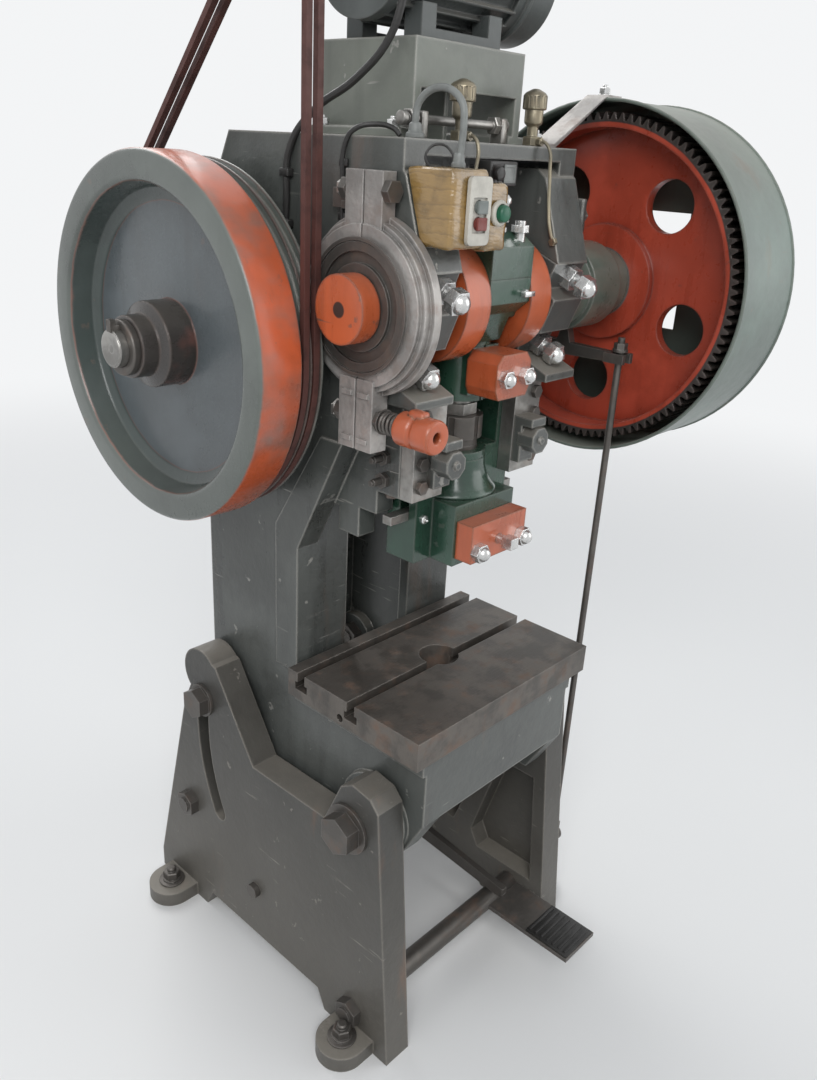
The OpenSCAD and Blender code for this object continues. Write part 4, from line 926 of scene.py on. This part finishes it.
    def crumple(self, amount: float, size: float) -> "Bench":
        """Push the corners in and out, as wound tape or rough casting.

        Args:
            amount: Largest push in millimetres.
            size: Size of a crumple in millimetres.

        Returns:
            The bench.
        """
        corners = self.work.data.vertices
        pushes = [noise.noise((corner.co - self.anchor) / MM / size) * amount
                  for corner in corners]
        moves = [corner.normal * push * MM for corner, push in zip(corners, pushes)]
        for corner, move in zip(corners, moves):
            corner.co += move
        return self

    def modify(self, kind: str, **settings: object) -> "Bench":
        """Apply a modifier to the lump.

        Args:
            kind: The modifier's type.
            **settings: Its properties.

        Returns:
            The bench.
        """
        self._hold()
        made = self.work.modifiers.new(kind.lower(), kind)
        for key, value in settings.items():
            setattr(made, key, value)
        bpy.ops.object.modifier_apply(modifier=made.name)
        return self

    def cut(self) -> "Bench":
        """Take the last lump away from the one before it, and return the bench."""
        tool = self.lumps.pop()
        self.modify("BOOLEAN", operation="DIFFERENCE", object=tool, solver="EXACT")
        bpy.data.objects.remove(tool)
        return self

    def again(self, moves: Sequence[Point], lumps: int = 1) -> "Bench":
        """Repeat the last lumps.

        Args:
            moves: Where each copy goes, in millimetres from the original.
            lumps: How many of the last lumps are copied.

        Returns:
            The bench.
        """
        source = self.lumps[-lumps:]
        for move in moves:
            for lump in source:
                self._copy(lump, Matrix.Translation(Vector(move) * MM))
        return self

    def mirror(self) -> "Bench":
        """Copy every lump to the other side of the centre plane, and return the bench."""
        for lump in list(self.lumps):
            self._copy(lump, Matrix.Scale(-1, 4, (1, 0, 0))).data.flip_normals()
        return self

    def wire(self, points: Sequence[Point], radius: float, smooth: bool = True,
             closed: bool = False, sides: int = 10) -> "Bench":
        """Add a round wire through points in millimetres.

        Args:
            points: The wire's middle line.
            radius: Its radius.
            smooth: True for a curve through the points, False for straight runs.
            closed: True where the wire ends in its own start.
            sides: Rough number of sides of its section.

        Returns:
            The bench.
        """
        nothing_selected()
        data = bpy.data.curves.new(self.name + "_line", "CURVE")
        data.dimensions = "3D"
        data.bevel_depth, data.bevel_resolution = radius * MM, max(1, sides // 4)
        data.use_fill_caps = not closed
        line = data.splines.new("BEZIER" if smooth else "POLY")
        line.use_cyclic_u = closed
        dots = line.bezier_points if smooth else line.points
        dots.add(len(points) - 1)
        for dot, point in zip(dots, points):
            place = self.anchor + Vector(point) * MM
            if smooth:
                dot.co = place
                dot.handle_left_type = dot.handle_right_type = "AUTO"
            else:
                dot.co = (*place, 1.0)
        line.resolution_u = 6
        holder = bpy.data.objects.new(self.name + "_line", data)
        bpy.context.scene.collection.objects.link(holder)
        bpy.context.view_layer.objects.active = holder
        holder.select_set(True)
        bpy.ops.object.convert(target="MESH")
        self.lumps.append(bpy.context.object)
        self.pick(lambda place, way: True)
        bpy.ops.mesh.remove_doubles(threshold=SAME_PLACE)
        bpy.ops.mesh.normals_make_consistent(inside=False)
        return self._leave()

    def done(self, finish: Finish, body: str, *replaces: str, angle: float = SMOOTH
             ) -> bpy.types.Object:
        """Join the lumps into the finished piece, dress it and let it ride.

        Args:
            finish: Its finish.
            body: The body that it moves with.
            *replaces: Nodes that it stands for.
            angle: Largest angle in degrees that is shaded smooth.

        Returns:
            The piece.
        """
        nothing_selected()
        for lump in self.lumps:
            lump.select_set(True)
        bpy.context.view_layer.objects.active = self.lumps[0]
        if len(self.lumps) > 1:
            bpy.ops.object.join()
        piece = bpy.context.object
        piece.name = piece.data.name = self.name
        bpy.ops.object.shade_smooth_by_angle(angle=math.radians(angle))
        piece.data.materials.clear()
        piece.data.materials.append(finish.material())
        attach(piece, body)
        if replaces:
            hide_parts(*replaces)
        log.info("piece %s: %d faces on %s", self.name, len(piece.data.polygons), body)
        return piece


@dataclass
class FlywheelDress:
    """The flywheel with its rounded rim, belt grooves, hub and gib-head key."""

    # Outer face; radii of the rim, the ring and the grooves' floors; length of the shaft's end
    left: float = -349.0
    rim: float = 272.0
    ring: float = 228.5
    width: float = 117.0
    groove: float = 255.2
    grooves: Tuple[float, float] = (85.5, 104.5)
    shaft: float = 27.52
    shaft_out: float = 58.0
    key_half: float = 6.0

    def wheel(self) -> None:
        """Turn the whole wheel."""
        r, w, ring, g, h = self.rim, self.width, self.ring, self.groove, self.rim - 7
        profile: List[Tuple[float, float]] = [
            (self.shaft, -34), (46, -34), (46, -6), (64, 0), (64, 46), (ring - 22, 46),
            (ring - 6, 40), (ring, 4), (ring + 5, 0), (r - 4, 0), (r, 4), (r, 71.5), (h, 74.5)]
        for middle in self.grooves:
            profile += [(h, middle - 8), (g, middle - 6), (g, middle + 6), (h, middle + 8)]
        profile += [(h, w), (ring + 8, w), (ring - 4, 72), (70, 68), (60, w + 6),
                    (self.shaft, w + 6)]
        Bench("flywheel_casting", SHAFT).turned(
            "x", (self.left, 0, 0), soften(profile, 3.0, 2, True), 144, True
        ).done(Finish.WHEEL, "shaft", "flywheel")

    def hub(self) -> None:
        """Add the key in the hub, the shaft's centre and the collar round the shaft."""
        end = self.left - self.shaft_out
        key = Bench("flywheel_key", SHAFT).block(end + 6, self.left - 30, -self.key_half,
                                                 self.key_half, 24, 34).bevel(1.5)
        key.extrude(lambda p, n: n.x < -0.9, (-9, 0, 0))
        key.extrude(lambda p, n: n.z > 0.9 and p.x < end + 6, (0, 0, 9))
        key.done(Finish.DARK, "shaft")
        Bench("flywheel_shaft_centre", SHAFT).turned(
            "x", (end, 0, 0), [(4, 0.5), (8, -0.5), (15, -1.6), (24, -1.6), (26, 0.5)][::-1], 40
        ).done(Finish.STEEL, "shaft")
        Bench("flywheel_hub_collar", SHAFT).turned(
            "x", (self.left, 0, 0), soften([(28, -46), (39, -46), (41, -44), (41, -34.2),
                                            (28, -34.2)], 1.2, 2, True), 56, True
        ).done(Finish.DARK, "shaft")

    def build(self) -> None:
        """Build the flywheel."""
        self.wheel()
        self.hub()


@dataclass
class BrakeDress:
    """Spring, adjusting sleeve and lining of the band brake."""

    # Axis of the brake's bolt, and the spring's ends, radius, turns and wire
    x: float = -207.3
    z: float = -150.0
    spring_from: float = -45.4
    spring_to: float = -75.4
    spring_r: float = 14.0
    spring_turns: float = 4.6
    wire_r: float = 2.7

    def spring(self) -> None:
        """Wind the brake spring, with its end turns closed."""
        low, high, steps = self.spring_from - self.wire_r, self.spring_to + self.wire_r, 150
        points = []
        for i in range(steps + 1):
            turned = self.spring_turns * i / steps
            rise = min(max((turned - 0.7) / (self.spring_turns - 1.4), 0.0), 1.0)
            a = 2 * math.pi * turned
            points.append((self.x + self.spring_r * math.cos(a), low + (high - low) * rise,
                           self.z + self.spring_r * math.sin(a)))
        Bench("brake_spring_coil", CRANK).wire(points, self.wire_r, smooth=False, sides=12) \
            .done(Finish.DARK, "frame", "brake_spring")

    def sleeve(self) -> None:
        """Turn the stepped sleeve with its cam bump."""
        profile = [(8.2, -76.8), (21, -76.8), (24, -80), (24, -103), (21.5, -105), (21.5, -110),
                   (24, -112), (24, -138), (22, -142), (9, -142), (7, -139.5), (7, -130),
                   (8.2, -130)]
        sleeve = Bench("brake_adjuster", CRANK).turned(
            "y", (self.x, 0, self.z), soften(profile, 1.2, 2, True), 48, True)
        sleeve.block(self.x - 9, self.x + 9, -121, -93, self.z + 16, self.z + 30).bevel(5, 3)
        sleeve.done(Finish.ORANGE, "frame", "brake_sleeve")

    def fittings(self) -> None:
        """Add lock nuts and the lining's edge."""
        Bench("brake_lock_nuts", CRANK).hexagon("y", (self.x, 0, self.z), 24, 46.2, 54) \
            .hexagon("y", (self.x, 0, 148), 22, 46.4, 52).done(Finish.STEEL, "frame")
        Bench("brake_lining", CRANK).turned(
            "x", (-224.9, 0, 0), [(86, 0.2), (91, -1.0), (91, -1.8), (86.2, -1.8)], 96, True
        ).done(Finish.DARK, "frame")

    def build(self) -> None:
        """Build the brake's fine parts."""
        self.spring()
        self.sleeve()
        self.fittings()


@dataclass
class HeadDress:
    """Boxes, cups, pipes and leads on the head."""

    # Top of the head, and sides of the two boxes
    head: float = 212.0
    box_left: float = -190.0
    box_mid: float = -117.5
    box_low: float = 84.0
    box_top: float = 180.0
    # Places of the buttons along X and Z, and the radii of their holes
    key_x: float = -142.75
    start_z: float = 136.0
    stop_z: float = 116.0
    key_hole: float = 8.4
    dome_x: float = -94.5
    dome_z: float = 128.0
    dome_hole: float = 11.4
    lead_x: float = -160.0
    cups: Tuple[float, float] = (-62.0, 100.0)

    @staticmethod
    def drill(work: Bench, holes: Sequence[Point], end: float) -> None:
        """Drill holes for buttons from the front.

        Args:
            work: The bench of the piece that gets the holes.
            holes: Place along X and Z and radius of each.
            end: Where they end along Y.
        """
        for x, z, r in holes:
            work.turned("y", (x, 0, z), [(r, -145), (r, end)], 40).cut()

    def key_holes(self) -> Sequence[Point]:
        """Return the holes of the two keys."""
        return [(self.key_x, z, self.key_hole) for z in (self.stop_z, self.start_z)]

    def taped_box(self, name: str, node: str, low: Point, high: Point, slope: float,
                  holes: Sequence[Point]) -> None:
        """Wrap a box in wrinkled tape.

        Args:
            name: The piece's name.
            node: The node that it stands for.
            low: Its lowest corner.
            high: Its highest corner.
            slope: How far its back leans forward at the foot.
            holes: Place along X and Z and radius of each button's hole.
        """
        work = Bench(name, CRANK).block(low[0], high[0], low[1], high[1], low[2], high[2])
        work.shift(lambda p, n: p.y > -60 and p.z < 130, (0, slope, 0))
        work.bevel(7, 3).divide(5)
        work.crumple(1.3, 14.0).crumple(0.6, 5.0)
        self.drill(work, holes, -116)
        work.done(Finish.TAPE, "frame", node, angle=60)

    def tape_boxes(self) -> None:
        """Wrap both boxes."""
        self.taped_box("taped_switch_box", "switch_box", (self.box_left, -125, self.box_low),
                       (self.box_mid, -43, self.box_top), -31, self.key_holes())
        self.taped_box("taped_button_box", "button_box",
                       (self.box_mid + 0.4, -122, self.box_low - 4),
                       (self.box_mid + 46, -93, self.box_top - 16), 0,
                       [(self.dome_x, self.dome_z, self.dome_hole)])

    def switch_face(self) -> None:
        """Make the cover plate with its sunk panel, and the three buttons."""
        x0, x1, z0, z1 = -164.0, -121.5, 90.0, 172.0
        plate = Bench("switch_cover", CRANK).block(x0, x1, -132, -126.3, z0, z1)
        plate.bevel(7, 4, lambda p, way: abs(way.y) > 0.9)
        plate.block(x0 + 8, x1 - 8, -134, -129.2, z0 + 15, z0 + 57).cut()
        self.drill(plate, self.key_holes(), -120)
        plate.done(Finish.WHITE, "frame", "switch_plate")
        for body, z, finish in (("start", self.start_z, Finish.BUTTON_GREY),
                                ("stop", self.stop_z, Finish.RED)):
            Bench(body + "_key", CRANK).block(-152, -133.5, -138, -133.4, z - 8, z + 8) \
                .bevel(1.5, 2).inset(lambda p, n: n.y < -0.9, 2, -0.8) \
                .turned("y", (self.key_x, 0, z), [(7.4, -134), (7.9, -133), (7.9, -126),
                                                  (7.2, -125.5)][::-1], 32) \
                .done(finish, body, body + "_button")
        Bench("inch_dome", CRANK).turned(
            "y", (self.dome_x, 0, self.dome_z),
            soften([(3, -138.5), (8.5, -137.4), (10.8, -135), (10.8, -122.4), (9, -122.4)],
                   1.2, 3)[::-1], 40).done(Finish.BUTTON_GREEN, "inch", "inch_button")
        Bench("inch_collar", CRANK).turned(
            "y", (self.dome_x, 0, self.dome_z),
            soften([(11.4, -123), (11.4, -129.5), (14, -129.5), (16.5, -127), (16.5, -123)],
                   1.0, 2, True), 24, True).done(Finish.WHITE, "frame")

    def grease(self) -> None:
        """Turn the ribbed grease cups and bend their pipes down to the bearings."""
        work = Bench("grease_cup_set", CRANK)
        x, y, z = self.cups[0], -22.0, self.head
        work.hexagon("z", (x, y, z), 24, 0, 13)
        work.turned("z", (x, y, z), soften([(8, 12), (8, 26), (13, 30), (13.5, 34), (13.5, 49),
                                            (11, 50)], 1.5), 36)
        work.turned("z", (x, y, z), soften([(14, 48), (17.5, 49), (17.5, 67), (14, 71), (5, 75.5),
                                            (2, 76)], 1.5), 48)
        # Every second side of the lid is sunk
        work.inset(lambda p, n: abs(n.z) < 0.2 and 52 < p.z - z < 66
                   and round(math.atan2(p.y - y, p.x - x) / math.radians(7.5)) % 2 == 0,
                   0.25, -1.1, True)
        work.again([(self.cups[1] - self.cups[0], 0, 0)], 3)
        work.done(Finish.BRASS, "frame", "grease_cups")
        pipes = Bench("oil_pipes", CRANK)
        pipes.wire([(100, -34, 218), (100, -42, 219), (101, -54, 210), (103, -58, 180),
                    (104, -62, 130), (105, -70, 92), (110, -72, 84), (113, -72, 82)], 2.6)
        pipes.wire([(-62, -34, 218), (-62, -44, 219), (-63, -55, 208), (-66, -57, 180),
                    (-80, -56, 140), (-104, -58, 118), (-113, -60, 114)], 2.6)
        for end, low in (((113, -72, 82), -7), ((-113, -60, 114), 0)):
            pipes.hexagon("x", end, 11, low, low + 7)
        for x in self.cups:
            pipes.hexagon("y", (x, 0, 218), 11, -41, -33)
        pipes.done(Finish.BRASS, "frame")

    def limit_switch(self) -> None:
        """Make the limit switch with its pale face, roller and lever."""
        case = Bench("limit_switch_case", CRANK).block(-44, 16, -65, -36.4, 158, 190).bevel(2.5, 2)
        case.inset(lambda p, n: n.y < -0.9, 4, -1.5)
        case.turned("y", (-30, 0, 174), soften([(6, -66), (9, -67), (9, -73), (5, -74)],
                                               1.0)[::-1], 28)
        case.block(-34, -26, -71.5, -69.5, 132, 170).bevel(0.8, 2)
        case.turned("y", (-30, 0, 136), soften([(3, -75), (7, -75), (7.5, -73), (7.5, -68),
                                                (3, -68)], 0.8)[::-1], 28)
        case.done(Finish.BLACK, "frame", "limit_switch")
        Bench("limit_switch_face", CRANK).block(-14, 12, -66, -63.8, 162, 186).bevel(1.0, 2) \
            .inset(lambda p, n: n.y < -0.9, 3, -0.8).done(Finish.GREY, "frame")

    def leads(self) -> None:
        """Lay the clipped leads from the head's top into the boxes and down the left side."""
        x = self.lead_x
        arch = [(x, -30, 212.3), (x, -30, 238)]
        arch += [(x, -70 + 40 * math.cos(math.radians(a)), 238 + 32 * math.sin(math.radians(a)))
                 for a in range(20, 170, 20)]
        arch += [(x, -110, 230), (x, -109, 206), (x, -106, 181)]
        lead = Bench("switch_lead", CRANK).wire(arch, 4.6, sides=16)
        lead.turned("z", (x, -30, 212.3),
                    soften([(12, 0), (12, 5), (9, 7), (8, 16), (6, 18)], 1.0), 28)
        lead.turned("z", (x, -106, 180),
                    soften([(9, 0.6), (9, 5), (7.5, 7), (7, 14), (5.8, 17)], 1.0), 28)
        lead.done(Finish.GREY, "frame", "conduit")
        side = Bench("side_lead", CRANK)
        side.wire([(-160, -4, 214), (-162, 6, 222), (-172, 30, 226), (-188, 52, 219),
                   (-193.6, 62, 204), (-193.8, 66, 150), (-193.8, 63, 93), (-193.6, 52, 40),
                   (-191, 50, 30)], 3.4)
        for z in (178.0, 110.0):
            side.block(-194.6, -190.1, 58, 74, z - 5, z + 5).bevel(1.2, 2)
        side.wire([(-150, -96, 165), (-152, -88, 196), (-158, -70, 206), (-171, -62, 196),
                   (-176, -70, 182), (-170, -86, 180)], 1.6)
        side.done(Finish.BLACK, "frame")

    def lugs(self) -> None:
        """Bolt the square lugs to the sides of the bearing housings."""
        lug = Bench("housing_lugs", CRANK).block(189.8, 201, -66, -36, 92, 142).bevel(3, 3)
        lug.nut("x", (0, -51, 117), 19, 201)
        lug.block(189.8, 198, 40, 86, 120, 170).bevel(3, 3)
        lug.nut("x", (0, 63, 145), 17, 198)
        lug.done(Finish.CAP, "frame")

    def build(self) -> None:
        """Build all that stands on the head."""
        self.tape_boxes()
        self.switch_face()
        self.grease()
        self.limit_switch()
        self.leads()
        self.lugs()


@dataclass
class RodDress:
    """Oiler on the rod's cap and the wing screw on its front."""

    cap_top: float = 97.0

    def oiler(self) -> None:
        """Turn the oiler with its glass body and pointed top."""
        profile = soften([(5, 6), (5, 12), (9.5, 14), (9.5, 17), (8.4, 19), (8.4, 37), (11, 39),
                          (11, 45), (7, 49), (3, 52), (2.2, 56), (1, 57)], 0.8, 2)
        Bench("rod_oil_cup", CRANK).hexagon("z", (0, -58, self.cap_top), 14, 0, 7) \
            .turned("z", (0, -58, self.cap_top), profile, 40) \
            .done(Finish.ZINC, "rod", "rod_oiler")

    def wing_screw(self) -> None:
        """Make the small wing screw on the rod's front."""
        screw = Bench("rod_wing_screw", CRANK).turned(
            "y", (30, -84, 14), soften([(3.5, 0.5), (6, 0), (6, -7), (4, -10), (3, -12)], 0.6), 24)
        screw.block(18, 42, -94, -91, 10, 18).bevel(1.3, 2)
        screw.shift(lambda p, n: abs(p.x - 30) > 9, (0, -4, 0))
        screw.done(Finish.ZINC, "rod")

    def build(self) -> None:
        """Build the rod's fine parts."""
        self.oiler()
        self.wing_screw()


@dataclass
class RamDress:
    """Concave neck between the ram's boss and its block, and the plugs on its front."""

    def neck(self) -> None:
        """Turn the flared neck."""
        profile = [(50.6, -243), (50.8, -254), (52.2, -263), (54.8, -271), (59.8, -280.5),
                   (65.3, -289), (71.4, -296.5), (71.4, -299.8), (50, -299.9)]
        Bench("ram_flare", CRANK).turned("z", (0, 0, 0), soften(profile, 2.5, 2)[::-1], 96) \
            .done(Finish.GREEN, "ram")

    def plugs(self) -> None:
        """Screw two grease plugs into the ram's front."""
        work = Bench("ram_plugs", CRANK)
        for x in (-91.0, 91.0):
            work.turned("y", (x, -25, -330), soften([(7, 0.3), (7, -3), (5, -4), (2.4, -4.4),
                                                     (2.4, -8), (1.2, -9)], 0.5), 24)
        work.done(Finish.ZINC, "ram")

    def build(self) -> None:
        """Build the ram's fine parts."""
        self.neck()
        self.plugs()


@dataclass
class LegDress:
    """Anchor bolts of the feet and the tread of the pedal."""

    # Places of the anchor bolts from the floor point under the ram
    anchor_x: float = 287.0
    front: float = -80.0
    rear: float = 444.0

    def anchors(self) -> None:
        """Stand an anchor bolt with washer and nut in each foot."""
        x, y = self.anchor_x, self.front
        work = Bench("anchor_bolts", FLOOR)
        work.turned("z", (x, y, 0), [(8.5, 3), (9, 4), (9, 29)], 24)
        work.turned("z", (x, y, 0), [(24, 30.1), (26, 31), (26, 33), (24, 34)], 40)
        work.nut("z", (x, y, 0), 30, 34)
        work.again([(0, self.rear - self.front, 0)], 5).mirror()
        work.done(Finish.DARK, "stand")

    def tread(self) -> None:
        """Lay the ribbed tread on the pedal."""
        tread = Bench("pedal_tread", FLOOR).block(68, 156, -298, -206, 116.1, 119).bevel(1, 2)
        tread.block(74, 150, -292, -286, 118.8, 121.4).bevel(0.8, 2)
        tread.again([(0, 13 * k, 0) for k in range(1, 7)])
        tread.done(Finish.BLACK, "treadle")

    def build(self) -> None:
        """Build the fine parts of the stand."""
        self.anchors()
        self.tread()


@dataclass
class GuardDress:
    """Rolled edges, bolts and window frame of the gear guard."""

    # The band's edges, its radii round gear and pinion, and the pinion's place from the gear
    inner_x: float = 322.0
    outer_x: float = 501.0
    radius: float = 290.5
    small: float = 92.0
    gap_y: float = 320.09
    drop: float = -90.0

    def outline(self, grow: float) -> List[Point]:
        """Return points round the guard, in Y and Z from the crankshaft, with X at 0.

        Args:
            grow: Distance outside the sheet.

        Returns:
            The points.
        """
        lean = math.atan2(self.drop, self.gap_y)
        reach = math.hypot(self.drop, self.gap_y)
        big, small = self.radius + grow, self.small + grow
        spread = math.acos((big - small) / reach)
        points: List[Point] = []
        for r, y, z, start, turn, steps in (
                (big, 0.0, 0.0, lean + spread, 2 * math.pi - 2 * spread, 60),
                (small, self.gap_y, self.drop, lean - spread, 2 * spread, 20)):
            for k in range(steps + 1):
                a = start + turn * k / steps
                points.append((0.0, y + r * math.cos(a), z + r * math.sin(a)))
        return points

    def beads(self) -> None:
        """Roll a wire into both edges of the guard's band."""
        bead = Bench("guard_beads", CRANK)
        for x in (self.inner_x + 1.5, self.outer_x - 1.5):
            bead.wire([(x, y, z) for _, y, z in self.outline(-0.4)], 3.0, smooth=False,
                      closed=True, sides=12)
        bead.done(Finish.GUARD, "frame")

    def bolts(self) -> None:
        """Bolt the straps to the head, the cheek and the guard."""
        work = Bench("strap_bolts", CRANK)
        work.nut("z", (166, 20, 0), 19, 218.1)
        work.nut("z", (346, 20, 0), 17, 296.6)
        work.nut("x", (0, 288, -195), 19, 196.1)
        work.nut("x", (0, 288, 80), 19, 196.1)
        work.done(Finish.ZINC, "frame")

    def window(self) -> None:
        """Frame the inspection window and rivet it to the side sheet."""
        rim = Bench("guard_window_frame", CRANK)
        rim.wire([(self.outer_x + 1.2, y, z) for y, z in (
            (-94, -80), (-94, 118), (-88, 124), (88, 124), (94, 118), (94, -80), (88, -86),
            (-88, -86))], 3.2, smooth=False, closed=True)
        rim.turned("x", (self.outer_x, -106, -98), [(5, 0.1), (4.6, 1.4), (3, 2.6)], 18)
        rim.again([(0, 212 * j / 3, 234 * k / 3) for j in range(4) for k in range(4)
                   if (j in (0, 3) or k in (0, 3)) and (j, k) != (0, 0)])
        rim.done(Finish.GUARD, "frame")

    def build(self) -> None:
        """Build the guard's fine parts."""
        self.beads()
        self.bolts()
        self.window()


@dataclass
class MotorDress:
    """Fan cowl, foot bolts, cable gland and tension spindle of the motor."""

    # Distance of the feet below the motor's axis
    radius: float = 88.0

    def cowl(self) -> None:
        """Close the motor's end with a slotted fan cowl."""
        cowl = Bench("motor_fan_cowl", MOTOR)
        cowl.turned("x", (0, 0, 0), soften([(86, 187.8), (84, 191), (70, 193), (66, 190.5),
                                            (58, 190.5), (54, 193.5), (46, 194), (42, 191),
                                            (34, 191), (30, 194), (20, 194.5), (4, 194.5)],
                                           1.2, 2), 72)
        cowl.turned("x", (0, 0, 0), soften([(90, 132), (91.5, 133), (91.5, 138), (90, 139)],
                                           0.8), 96)
        cowl.done(Finish.MOTOR, "frame")

    def bolts(self) -> None:
        """Bolt the motor's feet to the bracket, and the bracket to the head."""
        work = Bench("motor_bolts", MOTOR)
        for x in (-70, 70):
            for y in (-56, 56):
                work.nut("z", (x, y, 0), 16, -self.radius - 2.8)
        for x in (-128, 128):
            for y in (-70, 70):
                work.nut("z", (x, y, -440), 15, 224.1)
        work.done(Finish.ZINC, "frame")

    def spindle(self) -> None:
        """Hang the belt-tension spindle under the front of the bracket."""
        work = Bench("tension_spindle", CRANK)
        work.turned("x", (0, 8, 236), soften([(5, -150), (9, -149), (9, -141), (6, -139), (6, 60),
                                              (9, 62), (9, 72), (4, 73)], 1.2), 28)
        for x in (-112.0, 58.0):
            work.block(x - 6, x + 6, -4, 19.6, 212.2, 246).bevel(2.5, 3)
        work.hexagon("x", (0, 8, 236), 22, -136, -124)
        work.hexagon("x", (0, 8, 236), 22, 40, 51)
        work.done(Finish.STEEL, "frame")

    def gland(self) -> None:
        """Add the cable gland and the terminal box's lid screws."""
        work = Bench("terminal_fittings", MOTOR)
        work.hexagon("y", (20, 0, 106), 27, -64, -56.2)
        work.turned("y", (20, 0, 106), soften([(10, -64), (10, -72), (7, -78), (5, -78.5)],
                                              1.0), 28)
        work.turned("z", (-37, -35, 132), soften([(5, 0.1), (5, 2), (3, 3.4)], 0.5), 20)
        work.again([(74, 0, 0), (0, 70, 0), (74, 70, 0)])
        work.done(Finish.BLACK, "frame")

    def lead(self) -> None:
        """Lead the motor's cable down the left side of the column."""
        work = Bench("motor_lead", CRANK)
        work.wire([(20, 34, 546), (20, 14, 545), (8, 4, 536), (-30, 0, 520), (-80, 2, 490),
                   (-122, 8, 440), (-140, 14, 390), (-150, 30, 330), (-162, 80, 280),
                   (-182, 140, 240), (-195.5, 172, 195), (-196.2, 180, 123), (-196, 182, 70),
                   (-190, 184, 40)], 5.2, sides=14)
        for z in (160.0, 92.0):
            work.block(-202.5, -190.1, 170, 190, z - 6, z + 6).bevel(2.5, 3)
        work.done(Finish.BLACK, "frame")

    def pulley(self) -> None:
        """Close the motor pulley with its washer and bolt."""
        Bench("pulley_bolt", MOTOR).nut("x", (0, 0, 0), 22, -284.1, -1) \
            .done(Finish.STEEL, "pulley")

    def build(self) -> None:
        """Build the motor's fine parts."""
        self.cowl()
        self.bolts()
        self.spindle()
        self.gland()
        self.lead()
        self.pulley()


@dataclass
class Studio:
    """Floor, light and camera."""

    floor_half: float = 9.0
    fade_from: float = 1.6
    fade_to: float = 5.0
    sky: Colour = (0.45, 0.47, 0.50)
    # Name, place, height of the point aimed at, size and watts of each lamp
    lamps: Tuple[Tuple[str, Point, float, float, float], ...] = (
        ("key", (-2.6, -2.4, 3.4), 1.0, 2.2, 95.0), ("fill", (3.0, -3.2, 2.2), 0.9, 3.0, 45.0),
        ("top", (0.6, 2.4, 3.9), 1.1, 2.6, 70.0))
    # Place in metres, turns in degrees and focal length in pixels of the photograph
    eye: Point = (-1.0961, -1.0843, 1.4660)
    yaw: float = 47.94
    pitch: float = -22.84
    roll: float = 3.19
    focal_px: float = 921.83

    def floor(self) -> None:
        """Lay the pale floor."""
        bpy.ops.mesh.primitive_plane_add(size=2 * self.floor_half, location=(0, 0, 0))
        plane = bpy.context.object
        plane.name = "floor"
        t = Tree(bpy.data.materials.new("studio_floor"))
        pale = t.mix(t.noise(1.5, 3.0) * 0.25, (0.80, 0.80, 0.79), (0.74, 0.74, 0.73))
        # Far from the press the floor fades into the backdrop
        far = t.node("VectorMath", {"operation": "LENGTH"}, {0: t.place}, "Value")
        fade = far.step(self.fade_from, self.fade_to) * t.seen()
        glow = t.node("Emission", {}, {"Color": BACKDROP, "Strength": 1.0})
        ground = t.surface(pale, 0.6, 0.0, None, 0.0, 0.001)
        plane.data.materials.append(t.end(t.node("MixShader", {}, {0: fade, 1: ground, 2: glow})))

    def light(self) -> None:
        """Hang three soft lamps and a pale sky."""
        for name, where, aim_z, size, power in self.lamps:
            lamp = bpy.data.lights.new(name, "AREA")
            lamp.size, lamp.energy = size, power
            holder = bpy.data.objects.new(name, lamp)
            holder.location = where
            way = Vector((0.0, 0.0, aim_z)) - Vector(where)
            holder.rotation_euler = way.to_track_quat("-Z", "Y").to_euler()
            bpy.context.scene.collection.objects.link(holder)
        t = Tree(bpy.data.worlds.new("sky"))
        back = t.node("Background", {}, {"Color": t.mix(t.seen(), self.sky, BACKDROP),
                                         "Strength": 1.0})
        bpy.context.scene.world = t.end(back, "OutputWorld")

    def camera(self) -> None:
        """Set the camera at the photograph's viewpoint."""
        yaw, pitch, roll = (math.radians(a) for a in (self.yaw, self.pitch, self.roll))
        ahead = Vector((math.sin(yaw) * math.cos(pitch), math.cos(yaw) * math.cos(pitch),
                        math.sin(pitch)))
        level = Vector((math.cos(yaw), -math.sin(yaw), 0.0))
        right = level * math.cos(roll) + level.cross(ahead) * math.sin(roll)
        data = bpy.data.cameras.new("viewer")
        data.sensor_width, data.sensor_fit = SENSOR, "AUTO"
        data.lens = SENSOR * self.focal_px / max(PHOTO_SIDES)
        data.clip_start, data.clip_end = 0.05, 60.0
        viewer = bpy.data.objects.new("viewer", data)
        turn = Matrix((right, right.cross(ahead), -ahead)).transposed()
        viewer.matrix_world = Matrix.Translation(self.eye) @ turn.to_4x4()
        bpy.context.scene.collection.objects.link(viewer)
        bpy.context.scene.camera = viewer
        bpy.context.scene.view_settings.view_transform = "Standard"


def main() -> None:
    """Build the scene in order."""
    logging.basicConfig(level=logging.INFO, format="%(message)s")
    studio = Studio()
    studio.camera()
    dress_nodes()
    for dress in (FlywheelDress(), BrakeDress(), HeadDress(), RodDress(), RamDress(), LegDress(),
                  GuardDress(), MotorDress()):
        dress.build()
    studio.floor()
    studio.light()


if __name__ == "__main__":
    main()
